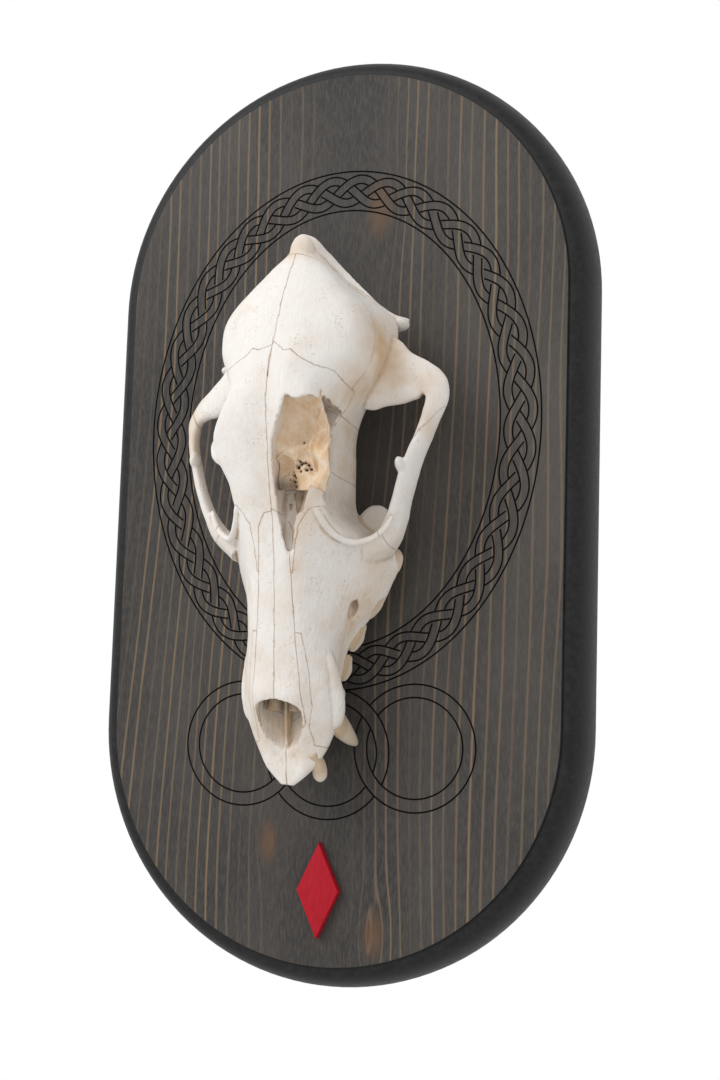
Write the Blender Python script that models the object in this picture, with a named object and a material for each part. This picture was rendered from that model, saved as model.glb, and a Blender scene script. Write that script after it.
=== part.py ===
"""Coyote skull on an oval pine wall plaque.

The skull is a dry cranium without its lower jaw. It lies on the plaque on its canine tips and ear bullae,
snout down, and two short hidden posts hold it off the board. The plaque hangs on a wall by its flat back.

The frame has +X to the viewer's right, +Y into the wall and +Z up, with the origin at the middle of the
plaque's back. Shapes are worked out in millimetres. The skull has axes of its own: lateral is the distance
from the midline, positive on the animal's left, rostral runs from the back of the skull to the front
teeth, and height is measured from the level of the tooth sockets up to the forehead.
"""
import math

import bmesh
import bpy
import numpy as np
from mathutils import Matrix, Vector, geometry

MM = 0.001
GAP = 0.3
WELD = 0.006

# The plaque
PLAQUE_HALF_WIDTH = 100.0
PLAQUE_STRAIGHT_HALF = 84.0
PLAQUE_THICKNESS = 19.5
PLAQUE_FACE_INSET = 8.7
PLAQUE_STEP = 1.1
PLAQUE_SIDE = 3.0
PLAQUE_END_SEGMENTS = 24

# The red lozenge under the skull
SIGN_CENTRE = (-1.1, -146.5)
SIGN_HALF_WIDTH = 8.5
SIGN_HALF_HEIGHT = 18.0
SIGN_THICKNESS = 3.0

# How the skull lies on the board, turned about a pivot inside it
SKULL_PIVOT = (0.0, 100.0, 30.0)
SKULL_PLACE = (-2.0, -57.3, -6.6)
SKULL_TILT = math.radians(-7.0)
SKULL_TURN = math.radians(2.4)
SKULL_ROLL = math.radians(-1.5)

# The posts between the board and the skull, as skull places on the midline
POST_RADIUS = 4.0
POST_PLACES = {"rear": (0.0, 40.0, 18.0), "front": (0.0, 145.0, 9.0)}

# Lines of the skull. Each row is rostral place, lateral distance, height
ROOF = ((1.5, 0, 53), (8, 0, 55), (20, 0, 59.5), (34, 0, 63), (47, 0, 65), (60, 0, 66), (70, 0, 64.3),
        (80, 0, 60.5), (88, 0, 57), (97, 0, 52.5), (106, 0, 47.7), (116, 0, 43.2), (125, 0, 40),
        (145, 0, 33.5), (160, 0, 28.8), (170, 0, 25.7), (177, 0, 20), (186, 0, 10), (194, 0, 7.2),
        (198, 0, 5.2))
CROWN = ((1.5, 2, 52), (8, 3, 54), (13, 5, 56), (20, 9, 57.5), (34, 12.5, 61), (47, 11.5, 63.5), (60, 9, 65.8),
         (70, 10, 65.2), (80, 12, 62), (88, 11, 57.8), (97, 10, 52.8), (106, 9, 47), (116, 8, 42.3),
         (125, 7, 38.8), (145, 6, 32.5), (160, 6, 28), (170, 6.3, 25), (177, 6, 19), (186, 5, 10.2),
         (194, 3.5, 7), (198, 1.2, 5.2))
TEMPLE = ((1.5, 3, 50.5), (8, 6, 49), (13, 10.5, 50), (20, 16.5, 51), (27, 22, 52), (34, 25, 53.5),
          (47, 24.5, 55), (56, 20, 57.5), (62, 17, 60), (68, 18, 60.5), (74, 21.2, 58), (80, 24.2, 53.5),
          (83, 24.4, 51.5), (88, 22.2, 50.5), (94, 19.2, 47.5), (100, 17.8, 44.5), (106, 17, 41),
          (116, 14.5, 36.5), (125, 12.3, 34.5), (145, 10.8, 29.5), (160, 10.8, 25), (170, 11, 21.5),
          (177, 10.5, 16), (186, 8, 10), (194, 5.5, 6.8), (198, 2, 5))
WALL = ((1.5, 3, 49), (8, 7.5, 41), (13, 13, 36), (20, 21, 36), (27, 26.5, 37), (34, 29, 38), (47, 28.5, 40),
        (56, 23.5, 43), (63, 17.5, 45), (70, 15, 44), (80, 14.5, 40), (90, 14, 36), (98, 14.5, 32), (104, 19, 29),
        (109, 24.5, 24), (116, 24, 21), (125, 20.5, 20.5), (135, 18, 20), (145, 16.5, 19), (155, 16.5, 18),
        (165, 17, 15), (174, 16.8, 11), (181, 15, 7.5), (188, 11.5, 6), (194, 7, 5.5), (198, 2.5, 4.6))
LOWER = ((1.5, 2.5, 47.5), (8, 6.5, 34), (13, 12.5, 23), (20, 26, 20), (27, 29.5, 20.5), (34, 29.5, 21),
         (47, 26, 21.5), (56, 16, 21), (64, 11, 19), (72, 10.5, 14), (80, 10.5, 9), (88, 11, 6), (94, 12.5, 4),
         (99, 18, 3), (104, 26.5, 2), (112, 31.3, 1), (120, 29.3, 0.5), (128, 25.5, 0.5), (136, 20.5, 0.8),
         (144, 16, 1.2), (155, 14.5, 1.5), (165, 15, 2), (174, 16, 3), (181, 14, 2.8), (188, 10.5, 2.5),
         (194, 6.3, 3), (198, 2, 3.8))
PALATE_EDGE = ((1.5, 1.5, 46.8), (8, 4, 30), (13, 8.5, 17), (20, 15, 13.5), (47, 13, 15), (56, 8, 16.5),
               (64, 7, 17), (80, 7.5, 16), (88, 7.5, 13), (93, 9, 7), (98, 13, 4), (104, 20, 4), (112, 22.5, 4),
               (128, 17, 4.5), (144, 11, 4.8), (165, 10, 5), (181, 8, 4.8), (194, 3, 4.2), (198, 0.8, 4.3))
FLOOR = ((1.5, 0, 46.5), (8, 0, 28.5), (13, 0, 15.5), (20, 0, 13), (47, 0, 14.5), (64, 0, 17), (88, 0, 17.5),
         (93, 0, 12), (98, 0, 5), (104, 0, 4.8), (128, 0, 5.2), (165, 0, 5.4), (194, 0, 4.6), (198, 0, 4.4))
SECTION_LINES = (ROOF, CROWN, TEMPLE, WALL, LOWER, PALATE_EDGE, FLOOR)
SECTION_POINTS = 30
SECTION_PLACES = np.concatenate((
    (1.5, 4.0, 8.0, 13.0), np.arange(19.0, 56.0, 7.0), np.arange(58.0, 112.0, 4.0), np.arange(115.0, 181.0, 8.0),
    (184.0, 188.5, 192.5, 195.5, 198.0)))

# The cheek arches from the temple to the upper jaw, which aren't mirror images. Each row is lateral, rostral,
# height of its middle, half its long way, half its short way, and how far the long way leans from upright to
# flat, in degrees
ARCHES = {
    "left": ((20, 45, 27, 14, 5.0, 90), (28, 45.5, 26, 14.5, 4.4, 90), (35, 46.8, 25, 10.8, 3.8, 90),
             (41.5, 47.6, 24.3, 8.3, 3.4, 86), (46.8, 49.4, 23.8, 6.2, 3.0, 68), (48.9, 54, 23.4, 4.8, 2.6, 42),
             (47.4, 61, 23.2, 4.6, 2.2, 22), (45.2, 68.5, 22.6, 5.0, 2.0, 14), (42.4, 76, 22.2, 5.8, 1.9, 10),
             (40.0, 84, 20.8, 6.2, 2.0, 10), (37.6, 92, 18.4, 6.2, 2.2, 10), (35.2, 100, 15.8, 6.8, 2.6, 10),
             (31, 107, 13.6, 8.0, 3.6, 8), (24, 112, 12.6, 9.0, 4.5, 0)),
    "right": ((20, 47, 27, 14, 5.0, 90), (28, 49, 26, 12, 4.4, 90), (34, 52.5, 25, 8.5, 3.8, 90),
              (40, 56, 24.3, 6.8, 3.4, 80), (45, 59.2, 23.8, 5.6, 3.0, 62), (48.4, 63.6, 23.4, 4.8, 2.6, 40),
              (48.8, 69.5, 23, 4.7, 2.2, 22), (47.9, 76, 22.4, 5.2, 2.0, 16), (46, 83, 21.4, 6.0, 2.0, 14),
              (43.6, 91, 19.6, 6.4, 2.1, 14), (40.4, 99, 17.4, 6.6, 2.4, 12), (35.5, 106.5, 14.6, 7.6, 3.4, 10),
              (27, 112.5, 12.6, 9.0, 4.5, 0)),
}
ARCH_RINGS = 21
ARCH_POINTS = 10

# The crest along the back of the skull, from the ear to the peak, as lateral, rostral, height
NUCHAL_CREST = ((31.5, 21.3, 17.5), (27.0, 21.3, 23), (22.0, 18.8, 28.5), (16.5, 14.0, 32.5), (11.0, 9.0, 37),
                (6.5, 4.6, 43.5), (3.0, 1.6, 50))
CREST_HUB = (0.0, 34.0, 36.0)
CREST_DEPTH = 7.0
CREST_THICKNESS = 2.2

# Round lumps: middle and half sizes along lateral, rostral and height. The sided ones are on both sides
SIDED_LUMPS = {
    "mastoid": ((28.3, 22.8, 17.5), (4.1, 3.2, 5.0)),
    "ear_process": ((19.5, 24.0, 11.8), (4.2, 3.6, 7.2)),
    "bulla": ((14.5, 33.0, 9.6), (8.3, 12.5, 8.2)),
    "condyle": ((10.5, 17.5, 17.5), (6.3, 5.5, 7.5)),
    "jaw_socket_lip": ((34.0, 42.0, 19.5), (8.5, 2.6, 6.0)),
    "brow_point": ((20.2, 82.5, 50.6), (6.0, 6.5, 3.4)),
    "cheek_point": ((38.6, 81.5, 27.5), (1.7, 3.0, 4.5)),
    "throat_hook": ((8.3, 72.5, 7.0), (1.3, 4.0, 5.0)),
    "socket_floor": ((22.8, 101.0, 4.3), (8.0, 10.5, 4.2)),
}
PEAK = ((0.0, 7.0, 50.5), (4.6, 7.4, 4.4))

# The root of the canine under the side of the snout, middle and half thickness
CANINE_ROOT = ((15.6, 176.0, 5.0, 4.0), (16.0, 166.0, 9.5, 4.6), (14.6, 155.0, 15.5, 3.8), (12.8, 147.0, 20.0, 2.6))

# Cheek teeth: lateral, rostral, length, width, height of each cusp
CUSPS = ((29.5, 113.4, 7.4, 7.6, 6.0), (28.4, 107.2, 6.6, 7.0, 5.2), (21.5, 110.3, 10.0, 10.0, 3.2),
         (24.6, 99.6, 6.4, 7.0, 3.6), (19.4, 99.8, 6.6, 6.6, 2.4), (24.8, 127.0, 11.0, 6.6, 9.0),
         (27.6, 120.0, 8.6, 5.6, 6.4), (19.8, 132.0, 6.2, 6.2, 3.6), (18.6, 140.6, 11.4, 5.0, 7.0),
         (14.8, 152.4, 10.0, 4.6, 6.0), (14.0, 163.2, 5.6, 4.0, 4.2))
TOOTH_SOCKET = 1.5
TOOTH_ROOT = 4.5
TOOTH_SIDES = 7
CANINE = {"base": (15.4, 173.6, 4.0), "tip": (17.4, 178.6, -16.2), "length": 9.4, "width": 6.6}
INCISOR = {"base": (10.2, 188.6, 4.0), "tip": (9.2, 196.0, -5.0), "length": 5.4, "width": 4.8}

# Openings as rows of rostral place, half width, lowest and highest height
NOSE_CAVITY = ((134, 3.5, 15, 24), (146, 7.0, 9.5, 29), (158, 8.4, 8.0, 26.2), (168, 8.8, 8.0, 24.6),
               (176, 8.8, 8.2, 34), (182, 8.2, 8.6, 34), (186.5, 5.0, 9.6, 34))
FORAMEN_MAGNUM = ((0.0, 13.0, 21.5), (7.2, 13.0, 6.0))
# The broken roof with the left brow and the slit beside the left nasal, as lateral, rostral and depth level
BROKEN_ROOF = ((5.4, 65.2, 56), (9.4, 66.2, 55), (12.8, 64.6, 54), (17.0, 65.0, 52), (18.4, 69.0, 50),
               (20.8, 74.0, 47.5), (32.0, 75.0, 46), (32.0, 97.0, 40.5), (18.0, 94.0, 41), (12.6, 93.0, 41),
               (9.6, 100.0, 38), (6.0, 106.0, 36), (4.0, 115.8, 34), (5.4, 124.6, 32), (4.2, 122.0, 32),
               (2.4, 114.0, 33.5), (1.9, 106.5, 36), (1.3, 98.0, 40), (1.0, 90.0, 43), (1.5, 81.0, 46),
               (3.6, 77.0, 50), (5.8, 70.0, 54))
INFRAORBITAL = ((20.6, 131.5, 12.0), (1.7, 6.0, 2.6))

# Bone outlines seen from above, each row lateral, rostral and the height where the bone ends below
NASAL = ((0.15, 104, 41), (3.0, 105.5, 40.5), (5.6, 110, 39), (6.3, 125, 35.5), (7.4, 145, 29), (8.8, 160, 24),
         (9.9, 171, 19.5), (9.9, 184, 14), (0.15, 184, 14))
PREMAXILLA = ((0.15, 175, -20), (0.15, 206, -20), (32, 206, -20), (32, 184, -20), (11.2, 183.2, -20),
              (10.6, 177.4, 3), (12.6, 170, 11), (11.6, 158, 17), (9.6, 145.5, 23), (6.6, 145.5, 23),
              (6.6, 160, 15), (6.6, 171, 4))
FRONTAL = ((0.15, 47.2, 52), (8.5, 50, 52), (16, 54.4, 48), (21.5, 56, 44), (25.6, 61, 38), (31, 66, 34),
           (32, 84, 30), (30, 97, 28), (19.5, 100.5, 31), (13.5, 103.5, 35), (9.6, 109, 36.5), (8.0, 116, 35.5),
           (6.9, 125, 33), (6.0, 125, 34), (5.3, 110, 37), (0.15, 104.5, 39))
PARIETAL = ((0.15, 3, 44), (0.15, 60, 50), (12, 62, 46), (30, 70, 39), (42, 66, 39), (42, 12, 38), (22, 4, 42))
OCCIPITAL = ((-45, -8), (45, -8), (45, 18.5), (33.5, 18.5), (26, 20.6), (18, 15.4), (9, 10.2), (0, 9.2),
             (-9, 10.2), (-18, 15.4), (-26, 20.6), (-33.5, 18.5), (-45, 18.5))
OCCIPITAL_BASE = ((-24.0, -9), (24.0, -9), (24.0, 28.2), (-24.0, 28.2))
OCCIPITAL_BASE_TOP = 25.0
TEMPORAL = ((6.5, 8), (6.5, 56), (13, 64), (26, 69.5), (47, 74), (64, 74), (64, 8))
JUGAL = ((30.4, 101.2), (33.6, 108.5), (40, 113), (64, 113), (64, 53), (54.5, 53), (50.6, 59), (42.6, 71.5),
         (34.0, 80), (29.4, 92))
MAXILLA = ((0.15, 98.4), (9.5, 98.4), (13.6, 93), (14.6, 86), (32, 86), (48, 114), (48, 206), (0.15, 206))
TOP_OF_SKULL = 95.0
UNDER_SKULL = -30.0

BONE = (0.80, 0.74, 0.64)
WARM_BONE = (0.74, 0.64, 0.50)


def through(rows, places):
    """Smooth values at the places, along a curve through rows of place and values."""
    rows = np.asarray(rows, float)
    at, values = rows[:, 0], rows[:, 1:]
    span = np.diff(at)[:, None]
    slope = np.diff(values, axis=0) / span
    tangent = np.empty_like(values)
    tangent[0], tangent[-1] = slope[0], slope[-1]
    tangent[1:-1] = (slope[:-1] * span[1:] + slope[1:] * span[:-1]) / (span[:-1] + span[1:])
    places = np.asarray(places, float)
    i = np.clip(np.searchsorted(at, places) - 1, 0, len(at) - 2)
    t = ((places - at[i]) / (at[i + 1] - at[i]))[:, None]
    h = span[i]
    return ((2 * t**3 - 3 * t**2 + 1) * values[i] + (t**3 - 2 * t**2 + t) * h * tangent[i]
            + (3 * t**2 - 2 * t**3) * values[i + 1] + (t**3 - t**2) * h * tangent[i + 1])


def from_skull(points):
    """Lateral, rostral and height turned to x, y and z with the skull's long axis upright."""
    points = np.asarray(points, float) - np.array(SKULL_PIVOT)
    return np.stack((points[..., 0], -points[..., 2], -points[..., 1]), axis=-1)


def solid(name, corners, faces):
    """A closed mesh object from corners in millimetres, its faces turned to point out."""
    shape = bmesh.new()
    verts = [shape.verts.new(corner) for corner in np.asarray(corners) * MM]
    for face in faces:
        shape.faces.new([verts[i] for i in face])
    bmesh.ops.recalc_face_normals(shape, faces=shape.faces)
    mesh = bpy.data.meshes.new(name)
    shape.to_mesh(mesh)
    shape.free()
    thing = bpy.data.objects.new(name, mesh)
    bpy.context.scene.collection.objects.link(thing)
    return thing


def ring_faces(rings, around, flat_ends=False):
    """Faces of a tube of rings, closed by a fan to one more corner at each end, or by flat ends."""
    faces = []
    for r in range(rings - 1):
        for k in range(around):
            a, b = r * around + k, r * around + (k + 1) % around
            faces.append((a, b, b + around, a + around))
    last = (rings - 1) * around
    if flat_ends:
        return faces + [tuple(range(around)), tuple(range(last, last + around))]
    for k in range(around):
        faces.append((k, (k + 1) % around, rings * around))
        faces.append((last + k, last + (k + 1) % around, rings * around + 1))
    return faces


def tube(name, rings):
    """A closed solid through rings of points in skull axes, ring by ring."""
    rings = np.asarray(rings, float)
    count, around = rings.shape[:2]
    ends = np.stack((rings[0].mean(axis=0), rings[-1].mean(axis=0)))
    return solid(name, from_skull(np.concatenate((rings.reshape(-1, 3), ends))), ring_faces(count, around))


def ovals(middles, long_ways, short_ways, points):
    """Rings of ellipses from arrays of middles and of their two half axes."""
    turn = np.linspace(0, 2 * np.pi, points, endpoint=False)[None, :, None]
    return middles[:, None] + np.cos(turn) * long_ways[:, None] + np.sin(turn) * short_ways[:, None]


def side_name(side):
    return "left" if side > 0 else "right"


def mirrored(rows, side):
    """Rows whose first value is lateral, moved to the animal's left (1) or right (-1)."""
    rows = np.array(rows, float)
    rows[..., 0] *= side
    return rows


def lump(name, middle, half_sizes, side=1, rings=5, around=9):
    """An ellipsoid as rings along the skull, with its two poles."""
    angle = np.linspace(0, np.pi, rings + 2)[1:-1]
    turn = np.linspace(0, 2 * np.pi, around, endpoint=False)
    unit = np.stack((np.sin(angle)[:, None] * np.cos(turn), np.repeat(-np.cos(angle)[:, None], around, 1),
                     np.sin(angle)[:, None] * np.sin(turn)), axis=-1)
    poles = np.array(((0.0, -1.0, 0.0), (0.0, 1.0, 0.0)))
    points = np.concatenate((unit.reshape(-1, 3), poles)) * np.array(half_sizes) + np.array(middle)
    return solid(name, from_skull(mirrored(points, side)), ring_faces(rings, around))


def prism(name, outline, low, high, side=1, grow=0.0):
    """An upright block over an outline seen from above, grown outwards by a margin on its sides and floor."""
    plan = np.array([row[:2] for row in outline], float)
    floors = np.array([row[2] if len(row) > 2 else low for row in outline], float)
    before, after = np.roll(plan, 1, 0), np.roll(plan, -1, 0)
    area = np.sum(plan[:, 0] * after[:, 1] - after[:, 0] * plan[:, 1])
    along_in, along_out = plan - before, after - plan
    along_in /= np.linalg.norm(along_in, axis=1)[:, None]
    along_out /= np.linalg.norm(along_out, axis=1)[:, None]
    out_in = np.stack((along_in[:, 1], -along_in[:, 0]), 1) * np.sign(area)
    out_out = np.stack((along_out[:, 1], -along_out[:, 0]), 1) * np.sign(area)
    mitre = (out_in + out_out) / (1 + np.sum(out_in * out_out, 1))[:, None]
    plan = plan + grow * mitre
    bottom = np.column_stack((plan, floors - grow))
    top = np.column_stack((plan, np.full(len(plan), float(high))))
    corners = from_skull(mirrored(np.concatenate((bottom, top)), side))
    count = len(plan)
    faces = [tuple(face) for face in geometry.tessellate_polygon([[Vector((*p, 0.0)) for p in plan]])]
    faces += [tuple(i + count for i in face) for face in faces]
    for k in range(count):
        n = (k + 1) % count
        faces += [(k, n, n + count), (k, n + count, k + count)]
    return solid(name, corners, faces)


def apply_modifiers(thing):
    """Replaces the object's mesh by its evaluated one."""
    graph = bpy.context.evaluated_depsgraph_get()
    mesh = bpy.data.meshes.new_from_object(thing.evaluated_get(graph))
    thing.modifiers.clear()
    thing.data = mesh


def combine(thing, others, operation):
    """One Boolean of an object with all the others, which are removed."""
    group = bpy.data.collections.new("operands")
    bpy.context.scene.collection.children.link(group)
    for other in others:
        group.objects.link(other)
        bpy.context.scene.collection.objects.unlink(other)
    step = thing.modifiers.new(operation.lower(), "BOOLEAN")
    step.operation = operation
    step.operand_type = "COLLECTION"
    step.collection = group
    step.solver = "MANIFOLD"
    apply_modifiers(thing)
    for other in others:
        bpy.data.objects.remove(other)
    bpy.data.collections.remove(group)


def cut(thing, other, operation):
    """One Boolean of an object with a single other, which is removed."""
    step = thing.modifiers.new(operation.lower(), "BOOLEAN")
    step.operation = operation
    step.object = other
    step.solver = "MANIFOLD"
    apply_modifiers(thing)
    bpy.data.objects.remove(other)


def welded(mesh):
    """The mesh in triangles, with its tiny edges merged as far as it stays closed."""
    for reach in (WELD, WELD / 3, WELD / 10, 0.0):
        shape = bmesh.new()
        shape.from_mesh(mesh)
        if reach:
            bmesh.ops.remove_doubles(shape, verts=shape.verts, dist=reach * MM)
            bmesh.ops.dissolve_degenerate(shape, edges=shape.edges, dist=reach * MM)
        bmesh.ops.triangulate(shape, faces=shape.faces)
        if reach == 0.0 or all(len(edge.link_faces) == 2 for edge in shape.edges):
            return shape
        shape.free()


def keep_largest(thing):
    """Leaves only the closed surface that holds the most, with its tiny edges merged."""
    shape = welded(thing.data)
    unseen = set(shape.faces)
    shells = []
    while unseen:
        shell, queue = [], [unseen.pop()]
        while queue:
            face = queue.pop()
            shell.append(face)
            for edge in face.edges:
                for near in edge.link_faces:
                    if near in unseen:
                        unseen.remove(near)
                        queue.append(near)
        volume = sum(f.verts[0].co.dot(f.verts[1].co.cross(f.verts[2].co)) for f in shell)
        shells.append((abs(volume), shell))
    shells.sort(key=lambda item: item[0], reverse=True)
    loose = [face for _, shell in shells[1:] for face in shell]
    bmesh.ops.delete(shape, geom=loose, context="FACES")
    shape.to_mesh(thing.data)
    shape.free()


def core():
    """The brain case, brow and snout as one lofted solid through the skull's lines."""
    lines = np.stack([through(rows, SECTION_PLACES) for rows in SECTION_LINES])
    other_side = lines[-2:0:-1] * np.array((-1.0, 1.0))
    loop = np.concatenate((lines, other_side))
    padded = np.concatenate((loop[-2:], loop, loop[:3]))
    rows = np.column_stack((np.arange(-2, len(loop) + 3), padded.reshape(len(padded), -1)))
    steps = np.linspace(0, len(loop), SECTION_POINTS, endpoint=False)
    sections = through(rows, steps).reshape(SECTION_POINTS, len(SECTION_PLACES), 2)
    rings = np.empty((len(SECTION_PLACES), SECTION_POINTS, 3))
    rings[..., 0] = sections[..., 0].T
    rings[..., 1] = SECTION_PLACES[:, None]
    rings[..., 2] = sections[..., 1].T
    return tube("core", rings)


def arch(side):
    """A cheek arch, a flattened rod that turns from lying to standing as it comes forward."""
    keys = np.array(ARCHES[side_name(side)], float)
    step = np.arange(len(keys))
    rows = through(np.column_stack((step, keys)), np.linspace(0, step[-1], ARCH_RINGS))
    middles, half_long, half_short, lean = rows[:, :3], rows[:, 3:4], rows[:, 4:5], np.radians(rows[:, 5:6])
    along = np.gradient(middles, axis=0)
    along /= np.linalg.norm(along, axis=1)[:, None]
    flat = np.cross(np.array((0.0, 0.0, 1.0)), along)
    flat /= np.linalg.norm(flat, axis=1)[:, None]
    upright = np.cross(along, flat)
    long_way = (np.cos(lean) * upright + np.sin(lean) * flat) * half_long
    short_way = (np.cos(lean) * flat - np.sin(lean) * upright) * half_short
    return tube("arch", mirrored(ovals(middles, long_way, short_way, ARCH_POINTS), side))


def crest():
    """The thin raised edge along the back of the skull, ear to ear over the peak."""
    half = np.array(NUCHAL_CREST, float)
    path = np.concatenate((half, mirrored(half[::-1], -1)))
    step = np.arange(len(path))
    path = through(np.column_stack((step, path)), np.linspace(0, step[-1], 19))
    inward = np.array(CREST_HUB) - path
    inward /= np.linalg.norm(inward, axis=1)[:, None]
    along = np.gradient(path, axis=0)
    across = np.cross(inward, along)
    across /= np.linalg.norm(across, axis=1)[:, None]
    return tube("crest", ovals(path + inward * CREST_DEPTH * 0.8, inward * CREST_DEPTH,
                               across * CREST_THICKNESS, 8))


def canine_root(side):
    """The swelling over the canine's root on the side of the snout."""
    keys = np.array(CANINE_ROOT, float)
    step = np.arange(len(keys))
    rows = through(np.column_stack((step, keys)), np.linspace(0, step[-1], 7))
    middles, half = rows[:, :3], rows[:, 3:4]
    upright = np.repeat([(0.0, 0.4, 0.9)], len(rows), 0)
    return tube("canine_root", mirrored(ovals(middles, upright * half, np.array((0.75, 0, 0)) * half, 8), side))


def tooth(name, base, tip, length, width, side):
    """A tapered oval crown from its root, sunk in the bone, to its tip."""
    base, tip = np.array(base, float), np.array(tip, float)
    root = -TOOTH_ROOT / np.abs(tip - base)[2]
    down = np.array((root, 0.0, 0.45, 0.78, 1.0))
    taper = np.array((0.7, 1.0, 0.8, 0.48, 0.14))
    curve = np.clip(down, 0, 1) ** 1.6
    middles = base + np.column_stack((curve * (tip - base)[0], curve * (tip - base)[1], down * (tip - base)[2]))
    long_way = np.outer(taper, (0.0, length / 2, 0.0))
    short_way = np.outer(taper, (width / 2, 0.0, 0.0))
    return tube(name, mirrored(ovals(middles, long_way, short_way, TOOTH_SIDES), side))


def teeth(side):
    """The cheek teeth and canine of one side, and on the left the one incisor that is left."""
    crowns = []
    for lateral, rostral, length, width, height in CUSPS:
        base = (lateral, rostral, TOOTH_SOCKET)
        tip = (lateral + 0.4, rostral + 0.08 * length, TOOTH_SOCKET - height)
        crowns.append(tooth("cusp", base, tip, length, width, side))
    crowns.append(tooth("canine", CANINE["base"], CANINE["tip"], CANINE["length"], CANINE["width"], side))
    if side > 0:
        crowns.append(tooth("incisor", INCISOR["base"], INCISOR["tip"], INCISOR["length"], INCISOR["width"], side))
    return crowns


def nose_cavity():
    """The air passage that opens in front, an oval tunnel that widens forward."""
    keys = np.array(NOSE_CAVITY, float)
    rows = through(keys, np.linspace(keys[0, 0], keys[-1, 0], 12))
    middles = np.column_stack((0 * rows[:, 0], np.linspace(keys[0, 0], keys[-1, 0], 12), rows[:, 1:].mean(axis=1)))
    return tube("nose_cavity", ovals(middles, np.outer(rows[:, 0], (1, 0, 0)),
                                     np.outer((rows[:, 2] - rows[:, 1]) / 2, (0, 0, 1)), 14))


def whole_skull():
    """Every bone and tooth as one fused solid, with its openings cut."""
    skull = core()
    pieces = [crest(), lump("peak", *PEAK)]
    for side in (1, -1):
        pieces += [lump(name, *shape, side=side) for name, shape in SIDED_LUMPS.items()]
        pieces += [arch(side), canine_root(side)]
        pieces += teeth(side)
    combine(skull, pieces, "UNION")
    keep_largest(skull)
    openings = [nose_cavity(), lump("foramen_magnum", *FORAMEN_MAGNUM),
                prism("broken_roof", BROKEN_ROOF, 0, TOP_OF_SKULL)]
    openings += [lump("infraorbital", *INFRAORBITAL, side=side) for side in (1, -1)]
    combine(skull, openings, "DIFFERENCE")
    keep_largest(skull)
    return skull


def copy_of(thing, name):
    twin = bpy.data.objects.new(name, thing.data.copy())
    bpy.context.scene.collection.objects.link(twin)
    return twin


def bone_block(blocks, side, grow):
    """One solid over the outlines of a bone, each with its own top, grown by a margin."""
    whole, *more = [prism("outline", outline, UNDER_SKULL, top + grow, side, grow) for outline, top in blocks]
    if more:
        combine(whole, more, "UNION")
    return whole


def take_bone(skull, name, blocks, side=1):
    """Parts the bone inside its blocks from the rest of the skull, leaving the gap round it."""
    bone = copy_of(skull, name)
    cut(bone, bone_block(blocks, side, 0.0), "INTERSECT")
    keep_largest(bone)
    cut(skull, bone_block(blocks, side, GAP), "DIFFERENCE")
    return bone


def bones(skull):
    """The skull parted along its sutures, front and top first, and what is left as the base."""
    parts = []

    def take_both(name, outline):
        for side in (1, -1):
            parts.append(take_bone(skull, f"{name}_{side_name(side)}", [(outline, TOP_OF_SKULL)], side))

    take_both("nasal", NASAL)
    take_both("premaxilla", PREMAXILLA)
    take_both("frontal", FRONTAL)
    take_both("jugal", JUGAL)
    take_both("maxilla", MAXILLA)
    occipital_blocks = [(OCCIPITAL, TOP_OF_SKULL), (OCCIPITAL_BASE, OCCIPITAL_BASE_TOP)]
    parts.append(take_bone(skull, "occipital", occipital_blocks))
    take_both("parietal", PARIETAL)
    take_both("temporal", TEMPORAL)
    skull.name = "sphenoid"
    keep_largest(skull)
    return parts + [skull]


def stadium(inset, depth):
    """The plaque's outline drawn in by an inset, at a depth in front of the wall."""
    turn = np.linspace(0, np.pi, PLAQUE_END_SEGMENTS + 1)
    radius = PLAQUE_HALF_WIDTH - inset
    top = np.column_stack((radius * np.cos(turn), PLAQUE_STRAIGHT_HALF + radius * np.sin(turn)))
    outline = np.concatenate((top, -top))
    return np.column_stack((outline[:, 0], np.full(len(outline), -depth), outline[:, 1]))


def plaque():
    """The board: flat back, short upright side, rounded shoulder and a small step up to its flat face."""
    shoulder = PLAQUE_THICKNESS - PLAQUE_STEP
    ledge = PLAQUE_FACE_INSET - 0.9
    turn = np.linspace(0, np.pi / 2, 7)
    rows = [(0.8, 0.0), (0.0, 0.8)]
    rows += [(ledge * (1 - math.cos(a)), PLAQUE_SIDE + (shoulder - PLAQUE_SIDE) * math.sin(a)) for a in turn]
    rows += [(PLAQUE_FACE_INSET, shoulder), (PLAQUE_FACE_INSET + 0.2, PLAQUE_THICKNESS)]
    rings = np.stack([stadium(inset, depth) for inset, depth in rows])
    return solid("plaque", rings.reshape(-1, 3), ring_faces(len(rings), rings.shape[1], flat_ends=True))


def lozenge():
    """The red wooden lozenge glued under the skull."""
    x, z = SIGN_CENTRE
    back = -PLAQUE_THICKNESS - GAP
    rim = ((SIGN_HALF_WIDTH, 0), (0, SIGN_HALF_HEIGHT), (-SIGN_HALF_WIDTH, 0), (0, -SIGN_HALF_HEIGHT))
    rings = [[(x + s * a, back - d, z + s * b) for a, b in rim]
             for s, d in ((1.0, 0.0), (1.0, SIGN_THICKNESS - 0.4), (0.95, SIGN_THICKNESS))]
    return solid("red_lozenge", np.array(rings).reshape(-1, 3), ring_faces(3, 4, flat_ends=True))


def skull_turn():
    """The skull's turn and place on the board."""
    spin = (Matrix.Rotation(SKULL_ROLL, 4, "Z") @ Matrix.Rotation(SKULL_TURN, 4, "Y")
            @ Matrix.Rotation(SKULL_TILT, 4, "X"))
    return Matrix.Translation(Vector(SKULL_PLACE) * MM) @ spin


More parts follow.
